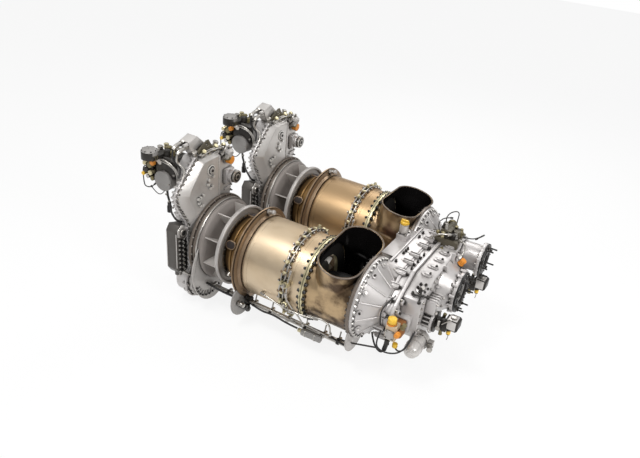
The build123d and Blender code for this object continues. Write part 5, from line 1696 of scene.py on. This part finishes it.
def torque_valve():
    """Tan torque valve with its coloured caps, and its leads."""
    low, high = span("torque_sensor")
    x, y = (low.x + high.x) / 2, low.y + 0.016
    top = -0.008
    yield box((low.x + 0.002, low.y + 0.018, -0.0855), (low.x + 0.054, low.y + 0.068, -0.008),
        "tan", 0.004)
    yield box((low.x + 0.004, low.y + 0.066, -0.082), (high.x - 0.01, high.y - 0.034, -0.014),
        "amber", 0.005)
    yield box((low.x, high.y - 0.036, -0.086), (high.x, high.y, -0.008), "casting", 0.004)
    yield rod((low.x + 0.06, low.y + 0.03, -0.048), (low.x + 0.06, low.y + 0.07, -0.048), 0.018,
        "amber", 24, width=0.003)
    yield rod_z(x - 0.016, y + 0.024, top + 0.004, top + 0.03, 0.02, "yellow", 20, width=0.003)
    yield rod_z(x - 0.016, y + 0.024, top - 0.002, top + 0.006, 0.023, "orange", 24)
    yield rod((x + 0.03, y - 0.004, top - 0.014), (x + 0.03, y - 0.03, top - 0.014), 0.012,
        "orange", 18, width=0.002)
    yield rod_z(x + 0.014, y + 0.026, top - 0.098, top - 0.118, 0.0125, "yellow", 14, width=0.002)
    yield box((low.x + 0.006, y - 0.0035, -0.078), (low.x + 0.046, y + 0.002, -0.03), "lip", 0.002)
    yield bolts([(low.x + dx, y - 0.003, zz) for dx in (0.01, 0.042) for zz in (-0.072, -0.036)],
        (0, -1, 0), "steel", 0.0042, 0.005)
    yield from fitting((x + 0.034, y + 0.02, top - 0.002), (0.4, 0, 1), 0.01, "olive", 0.028)
    yield from fitting((x - 0.02, y + 0.01, top - 0.078), (0, 0, -1), 0.011, "dark", 0.03)
    yield rod((x - 0.02, y + 0.01, top - 0.1), (x - 0.026, y + 0.006, top - 0.142), 0.0105,
        "black", 18, width=0.002)
    yield tube(placed((x, y, top), (-0.026, 0.006, -0.138), (-0.03, 0, -0.156),
        (-0.06, 0.01, -0.16), (-0.092, 0.03, -0.14), (-0.112, 0.05, -0.11)), 0.0042, "hose")
    yield tube(placed((x, y, top), (0.014, 0.026, -0.114), (0.026, 0.02, -0.132),
        (0.06, 0.01, -0.108), (0.078, 0.02, -0.06), (0.082, 0.06, -0.02)), 0.0036, "hose")


def filler():
    """Filler neck with its collar, and the yellow quarter-turn cap."""
    low, high = span("filler_neck")
    cap_low, cap_high = span("filler_cap")
    x, y = (cap_low.x + cap_high.x) / 2, (cap_low.y + cap_high.y) / 2
    neck = dressed("filler_neck", "casting", 0.002)
    collar = rod_z(x, y, low.z + 0.03, high.z - 0.004, 0.0215, "vane", 36, width=0.002)
    nuts = bolts([(x + dx, y + dy, low.z + 0.026) for dx in (-0.014, 0.022)
        for dy in (-0.022, 0.022)], (0, 0, 1), "steel", 0.0052)
    join("filler_neck_dressed", [neck, collar, nuts], replaces=("filler_neck",))
    cap = dressed("filler_cap", "yellow", 0.0012)
    ridges = []
    for k in range(16):
        a = polar(0.0198, 22.5 * k)
        ridges.append(rod_z(x + a[0], y + a[1], cap_low.z + 0.001, cap_low.z + 0.011, 0.0022,
            "yellow", 8))
    join("filler_cap_dressed", [cap, *ridges], body="filler_lid",
        replaces=("filler_cap",))


def control_valves():
    """Olive valve group on the gearbox's left top, with its unions and wire loops."""
    low, high = span("control_valves")
    cx, cy = (low.x + high.x) / 2, (low.y + high.y) / 2
    yield dressed("control_valves", "plate", 0.003)
    finishes = "olive", "zinc", "dark", "steel", "olive", "dark"
    spots = ((-0.044, -0.05, 0.168), (-0.026, -0.05, 0.168), (0.02, -0.04, 0.168),
        (0.038, -0.03, 0.168), (0.044, 0.01, 0.168), (0.024, 0.022, 0.168), (0.046, 0.04, 0.168),
        (-0.048, 0.052, 0.168), (-0.036, -0.018, 0.206), (-0.018, -0.03, 0.206),
        (0.008, 0.05, 0.168), (-0.008, -0.044, 0.168))
    for k, (dx, dy, z) in enumerate(spots):
        lean = 0.25 * (k % 3 - 1), 0.3 * (k % 2 - 0.5), 1
        yield from fitting((cx + dx, cy + dy, z - 0.004), lean, 0.008 + 0.0015 * (k % 3),
            finishes[k % 6], 0.034)
    for k, (dy, z) in enumerate(((-0.04, 0.09), (-0.012, 0.11), (0.02, 0.092), (0.044, 0.12))):
        yield from fitting((high.x - 0.002, cy + dy, z), (1, 0, 0.2), 0.01, finishes[(k + 2) % 6],
            0.036)
    for k, (dx, z) in enumerate(((-0.036, 0.09), (-0.006, 0.12), (0.026, 0.086))):
        yield from fitting((cx + dx, low.y + 0.002, z), (0, -1, 0.2), 0.01, finishes[(k + 3) % 6],
            0.034)
    yield rod((cx - 0.024, high.y - 0.002, 0.184), (cx - 0.024, high.y + 0.018, 0.184), 0.0235,
        "olive", 32, width=0.002)
    thin = sizes().wire_radius
    yield from pipe([(-0.19, 0.196, 0.196), (-0.206, 0.2, 0.236), (-0.2, 0.226, 0.262),
        (-0.18, 0.27, 0.262), (-0.172, 0.312, 0.236), (-0.176, 0.318, 0.196),
        (-0.17, 0.29, 0.168)], thin, "dark")
    yield from pipe([(-0.206, 0.17, 0.16), (-0.232, 0.196, 0.186), (-0.242, 0.226, 0.2),
        (-0.226, 0.262, 0.214), (-0.196, 0.286, 0.21)], thin, "dark")
    yield from pipe([(-0.09, 0.16, 0.196), (-0.052, 0.164, 0.196), (-0.026, 0.2, 0.198),
        (-0.016, 0.26, 0.192), (-0.022, 0.296, 0.166), (-0.06, 0.3, 0.13)], thin, "dark")
    yield from pipe([(-0.1, 0.15, 0.176), (-0.07, 0.13, 0.186), (-0.05, 0.092, 0.166),
        (-0.064, 0.056, 0.138)], 0.0042)
    yield from pipe([(-0.15, 0.14, 0.196), (-0.178, 0.112, 0.204), (-0.214, 0.104, 0.19),
        (-0.236, 0.11, 0.16)], 0.0042)
    yield from pipe([(-0.206, 0.244, 0.15), (-0.244, 0.256, 0.14), (-0.286, 0.262, 0.12),
        (-0.32, 0.25, 0.1)], 0.0046)
    yield from fitting((X_FACE + 0.04, 0.056, 0.112), (0.6, 0, 1), 0.014, "orange", 0.03)


class ENGINE_OT_gearbox_fittings(bpy.types.Operator):
    """Oil filter, torque valve, filler neck and the control valve group"""
    bl_idname = "engine.gearbox_fittings"
    bl_label = "Gearbox fittings"

    def execute(self, context):
        join("oil_filter_dressed", oil_filter(), replaces=("oil_filter",))
        join("torque_valve", torque_valve(), replaces=("torque_sensor",))
        filler()
        join("control_valves_dressed", control_valves(),
            replaces=("control_valves",))
        return {"FINISHED"}


def branch_pipes(y):
    """Unions, clamps and short branch pipes on the two long service pipes."""
    for k, x in enumerate((-1.16, -1.06, -0.9, -0.8, -0.7, -0.6, -0.5, -0.42)):
        yield rod_x(x, x + 0.014, y - 0.124, -0.222, 0.0125, "dark" if k % 2 else "steel", 16)
        yield box((x - 0.002, y - 0.126, -0.226), (x + 0.014, y - 0.092, -0.212), "steel", 0.002)
        if k > 1:
            yield rod((x + 0.006, y - 0.112, -0.212), (x + 0.006, y - 0.1, -0.176), 0.0036,
                "steel", 12)
    for x0, x1, dz in ((-0.9, -0.64, 0.0), (-0.66, -0.46, 0.006)):
        yield from pipe([(x0, y - 0.142, -0.2 + dz), (x0 + 0.07, y - 0.15, -0.188 + dz),
            (x1 - 0.06, y - 0.15, -0.192 + dz), (x1, y - 0.14, -0.206 + dz)], 0.004)


def drain_valve(y):
    """Small drain cylinder under the exhaust and the pipe loop beside it."""
    x = -0.599
    yield rod((x, y - 0.14, -0.238), (x + 0.104, y - 0.14, -0.236), 0.019, "grey", 32, width=0.002)
    yield rod_x(x - 0.022, x, y - 0.14, -0.238, 0.0105, "zinc", 20)
    for shift in (0.018, 0.07):
        yield rod_x(x + shift, x + shift + 0.006, y - 0.14, -0.238, 0.0205, "steel", 32)
    yield from pipe([(-0.804, y - 0.196, -0.07), (-0.72, y - 0.205, -0.086),
        (-0.62, y - 0.205, -0.094), (-0.54, y - 0.196, -0.092), (-0.5, y - 0.19, -0.086)], 0.004)
    yield from pipe([(-0.548, y - 0.186, -0.09), (-0.5, y - 0.196, -0.074),
        (-0.458, y - 0.192, -0.076), (-0.436, y - 0.184, -0.1), (-0.438, y - 0.17, -0.14),
        (-0.446, y - 0.15, -0.176)], 0.0044)
    yield from pipe([(-0.69, y - 0.2, 0.03), (-0.672, y - 0.214, -0.01), (-0.64, y - 0.208, -0.06),
        (-0.61, y - 0.18, -0.12), (-0.59, y - 0.15, -0.19)], 0.004)


def harness(y):
    """Black harness that follows the underside, with plugs into the fire seal."""
    yield tube([(-1.18, y - 0.15, -0.196), (-1.1, y - 0.152, -0.206), (-1.0, y - 0.146, -0.212),
        (-0.96, y - 0.14, -0.214)], 0.0058, "hose")
    yield tube([(-0.925, y - 0.136, -0.206), (-0.84, y - 0.158, -0.214), (-0.76, y - 0.15, -0.208),
        (-0.68, y - 0.16, -0.214), (-0.62, y - 0.152, -0.222)], 0.0048, "hose")
    yield tube([(-0.5, y - 0.14, -0.206), (-0.46, y - 0.132, -0.196), (-0.41, y - 0.14, -0.206),
        (-0.36, y - 0.134, -0.214)], 0.0048, "hose")
    yield from pipe([(-0.998, y - 0.132, -0.108), (-0.994, y - 0.15, -0.116),
        (-0.98, y - 0.174, -0.106), (-0.955, y - 0.186, -0.096)], 0.0036)


def gearbox_leads():
    """Leads that loop below the right end of the gearbox."""
    yield tube([(-0.212, -0.43, -0.05), (-0.222, -0.44, -0.1), (-0.214, -0.442, -0.142),
        (-0.166, -0.44, -0.15), (-0.112, -0.43, -0.13), (-0.08, -0.42, -0.07),
        (-0.076, -0.396, -0.02)], 0.0036, "hose")
    yield tube([(-0.214, -0.442, -0.14), (-0.29, -0.44, -0.164), (-0.35, -0.43, -0.19),
        (-0.42, -0.42, -0.206)], 0.004, "hose")
    yield tube([(-0.222, -0.42, -0.03), (-0.24, -0.41, 0.02), (-0.226, -0.372, 0.06),
        (-0.206, -0.33, 0.082)], 0.0034, "hose")


class ENGINE_OT_services(bpy.types.Operator):
    """Pipes, harness, clamps and small valves along and under the sections"""
    bl_idname = "engine.services"
    bl_label = "Services"

    def execute(self, context):
        for name, y in SECTIONS.items():
            join(f"{name}_services", [*branch_pipes(y), *drain_valve(y), *harness(y)])
        join("gearbox_leads", gearbox_leads())
        return {"FINISHED"}


def input_housing(name, y):
    """Input housing of one section, with its ribs and studs."""
    x = X_GEARBOX
    shell = lathe([(x, 0.166), (x, 0.196), (x + 0.003, 0.197), (x + 0.01, 0.197),
        (x + 0.012, 0.194), (x + 0.013, 0.184), (x + 0.016, 0.181), (x + 0.02, 0.18),
        (x + 0.024, 0.18), (x + 0.108, 0.088), (X_MIDDLE - 0.001, 0.084), (X_MIDDLE - 0.001, 0.02),
        (X_MIDDLE - 0.017, 0.02), (x + 0.024, 0.166)], "casting", y)
    heads = bolt_ring(x + 0.012, y, 0, 0.1895, 40, "bright", head=0.0056, height=0.009)
    ribs = []
    for k in range(12):
        angle = 30 * k + 6
        a, b = polar(0.18, angle), polar(0.098, angle)
        ribs.append(wire([(x + 0.021, y + a[0], a[1]), (x + 0.1, y + b[0], b[1])], 0.0046,
            "casting"))
        spot = polar(0.17, angle + 15, y)
        way = Vector((0.7, cos(radians(angle + 15)), sin(radians(angle + 15))))
        foot = Vector((x + 0.032, *spot))
        ribs.append(rod(foot - way * 0.006, foot + way * 0.007, 0.0125, "casting", 20,
            width=0.002))
        ribs.append(rod(foot + way * 0.006, foot + way * 0.013, 0.0056,
            "dark" if k % 2 else "bright", 6, width=0.001))
    join(f"{name}_input_housing", [shell, heads, *ribs],
        replaces=shared(name, "input_housings"))


class ENGINE_OT_input_housings(bpy.types.Operator):
    """Input housings: a short drum and a ribbed cone down to the gearbox"""
    bl_idname = "engine.input_housings"
    bl_label = "Input housings"

    def execute(self, context):
        return each_section(input_housing)


# Stage

CAMERA_PLACE = (0.5414, -2.5041, 1.6894)
CAMERA_AZIMUTH = 28.01
CAMERA_ELEVATION = 29.93
CAMERA_ROLL = -5.56
FOCAL_PIXELS = 629.7
IMAGE_WIDTH = 640
FLOOR_DROP = 0.004
FLOOR_REACH = 12
FLOOR_GLOW = 0.86
WHITE = (1.0, 1.0, 1.0, 1.0)
HORIZON = (0.22, 0.22, 0.22, 1.0)
CEILING = (0.86, 0.86, 0.86, 1.0)
# Name, place, width and watts of each lamp, and the point that all of them face
LAMPS = (("key", (-1.6, -1.6, 3.4), 1.1, 62.0), ("fill", (2.6, -1.2, 2.0), 1.2, 62.0),
         ("back", (-1.0, 2.6, 2.4), 1.6, 34.0))

LAMP_AIM = (-0.6, 0.0, 0.05)


def mix_shader(tree, share, first, second):
    """Mix of two shaders."""
    return add(tree, "ShaderNodeMixShader", {0: share, 1: first, 2: second}).outputs[0]


def make_floor():
    """Pale floor that looks evenly lit to the camera."""
    z, reach = CAD_BOX[0][2] - FLOOR_DROP, FLOOR_REACH
    mesh = bpy.data.meshes.new("floor")
    mesh.from_pydata([(-reach, -reach, z), (reach, -reach, z), (reach, reach, z),
        (-reach, reach, z)], [], [(0, 1, 2, 3)])
    material = bpy.data.materials.new("Pale floor")
    material.use_nodes = True
    tree = material.node_tree
    shader = tree.nodes["Principled BSDF"]
    shader.inputs["Base Color"].default_value = tuple(colours().floor)
    shader.inputs["Roughness"].default_value = 0.9
    glow = add(tree, "ShaderNodeEmission", {"Color": WHITE, "Strength": 1.0})
    rays = tree.nodes.new("ShaderNodeLightPath").outputs
    seen = rays["Is Camera Ray"]
    for ray in ("Is Glossy Ray", "Is Transmission Ray"):
        seen = calc(tree, "MAXIMUM", seen, rays[ray])
    share = calc(tree, "MULTIPLY", seen, FLOOR_GLOW)
    blend = mix_shader(tree, share, shader.outputs[0], glow.outputs[0])
    tree.links.new(blend, tree.nodes["Material Output"].inputs["Surface"])
    mesh.materials.append(material)
    link(mesh, name="floor")


def make_world(scene):
    """White to the camera, a bright ceiling over a greyer horizon to the metal."""
    world = bpy.data.worlds.new("Studio")
    scene.world = world
    world.use_nodes = True
    tree = world.node_tree
    soft = tree.nodes["Background"]
    soft.inputs["Color"].default_value = WHITE
    soft.inputs["Strength"].default_value = 0.5
    place = tree.nodes.new("ShaderNodeTexCoord").outputs["Generated"]
    split = add(tree, "ShaderNodeSeparateXYZ", {"Vector": place})
    height = ramp(tree, split.outputs["Z"], 0.12, 0.55)
    sky = mix_colour(tree, height, HORIZON, CEILING)
    ceiling = add(tree, "ShaderNodeBackground", {"Color": sky}).outputs[0]
    white = add(tree, "ShaderNodeBackground", {"Color": WHITE}).outputs[0]
    rays = tree.nodes.new("ShaderNodeLightPath").outputs
    last = soft.outputs[0]
    for ray, shader in (("Is Glossy Ray", ceiling), ("Is Transmission Ray", white),
            ("Is Camera Ray", white)):
        last = mix_shader(tree, rays[ray], last, shader)
    tree.links.new(last, tree.nodes["World Output"].inputs["Surface"])


def make_lamps():
    """Soft square lamps."""
    for name, place, size, power in LAMPS:
        lamp = bpy.data.lights.new(name, "AREA")
        lamp.size = size
        lamp.energy = power
        obj = bpy.data.objects.new(name, lamp)
        bpy.context.scene.collection.objects.link(obj)
        obj.location = place
        aim = Vector(LAMP_AIM) - Vector(place)
        obj.rotation_euler = aim.to_track_quat("-Z", "Y").to_euler()


def place_camera(scene):
    """Camera that was fitted to the photograph."""
    az, el, roll = (radians(v) for v in (CAMERA_AZIMUTH, CAMERA_ELEVATION, CAMERA_ROLL))
    forward = Vector((-sin(az) * cos(el), cos(az) * cos(el), -sin(el)))
    right = Vector((cos(az), sin(az), 0))
    down = forward.cross(right)
    across = right * cos(roll) + down * sin(roll)
    below = down * cos(roll) - right * sin(roll)
    camera = bpy.data.cameras.new("camera")
    camera.sensor_width = 36.0
    camera.lens = FOCAL_PIXELS / IMAGE_WIDTH * camera.sensor_width
    camera.clip_end = 60.0
    obj = bpy.data.objects.new("camera", camera)
    scene.collection.objects.link(obj)
    turn = Matrix((across, -below, -forward)).transposed().to_4x4()
    obj.matrix_world = Matrix.Translation(CAMERA_PLACE) @ turn
    scene.camera = obj


class ENGINE_OT_stage(bpy.types.Operator):
    """Plain pale floor, soft studio light and the photograph's camera"""
    bl_idname = "engine.stage"
    bl_label = "Stage"

    def execute(self, context):
        scene = context.scene
        scene.view_settings.view_transform = "Standard"
        make_floor()
        make_world(scene)
        make_lamps()
        place_camera(scene)
        return {"FINISHED"}


# Finishes of the CAD nodes that stay, by material slot or by name
SLOT_FINISH = {"bronze_case": "bronze", "grey_cast": "casting", "hot_steel": "heat",
               "dark_fitting": "dark", "orange_fitting": "olive", "yellow_cap": "yellow"}

OWN_FINISH = {"inlet_struts": "vane", "exhaust_cones": "ash"}


class ENGINE_OT_finishes(bpy.types.Operator):
    """Makes the materials and node trees, and dresses the CAD nodes that stay"""
    bl_idname = "engine.finishes"
    bl_label = "Finishes"

    def execute(self, context):
        surface = surface_group()
        for key, values in FINISHES.items():
            MATERIALS[key] = make_material(surface, *values)
        TREES.update({"bolts": bolts_tree(), "ring": ring_tree(), "adaptors": adaptors_tree()})
        slots = {entry["node"]: entry.get("material_slot")
            for entry in frame["record"]["subparts"]}
        for name, obj in frame["nodes"].items():
            chosen = OWN_FINISH.get(name) or SLOT_FINISH.get(slots.get(name), "steel")
            obj.data.materials.clear()
            obj.data.materials.append(MATERIALS[chosen])
        return {"FINISHED"}


class ENGINE_PT_panel(bpy.types.Panel):
    """Lists the pieces of the engine"""
    bl_idname = "ENGINE_PT_panel"
    bl_label = "Engine"
    bl_space_type = "VIEW_3D"
    bl_region_type = "UI"
    bl_category = "Engine"

    def draw(self, context):
        for group in (context.scene.engine_sizes, context.scene.engine_colours):
            for label in group.__annotations__:
                self.layout.prop(group, label)
        for piece in PIECES:
            self.layout.operator(piece.bl_idname)


PIECES = (
    ENGINE_OT_finishes,
    ENGINE_OT_inlets,
    ENGINE_OT_compressor_cases,
    ENGINE_OT_burner_cases,
    ENGINE_OT_fuel_nozzles,
    ENGINE_OT_turbine_flanges,
    ENGINE_OT_exhausts,
    ENGINE_OT_input_housings,
    ENGINE_OT_accessory_cases,
    ENGINE_OT_oil_tanks,
    ENGINE_OT_exciters,
    ENGINE_OT_fuel_controls,
    ENGINE_OT_gearbox,
    ENGINE_OT_drives,
    ENGINE_OT_gearbox_fittings,
    ENGINE_OT_services,
    ENGINE_OT_stage,
)

CLASSES = (EngineSizes, EngineColours, *PIECES, ENGINE_PT_panel)


def register():
    for entry in CLASSES:
        bpy.utils.register_class(entry)
    bpy.types.Scene.engine_sizes = PointerProperty(type=EngineSizes)
    bpy.types.Scene.engine_colours = PointerProperty(type=EngineColours)


def unregister():
    del bpy.types.Scene.engine_colours
    del bpy.types.Scene.engine_sizes
    for entry in reversed(CLASSES):
        bpy.utils.unregister_class(entry)


def main():
    register()
    for piece in PIECES:
        group, name = piece.bl_idname.split(".")
        getattr(getattr(bpy.ops, group), name)()


if __name__ == "__main__":
    main()
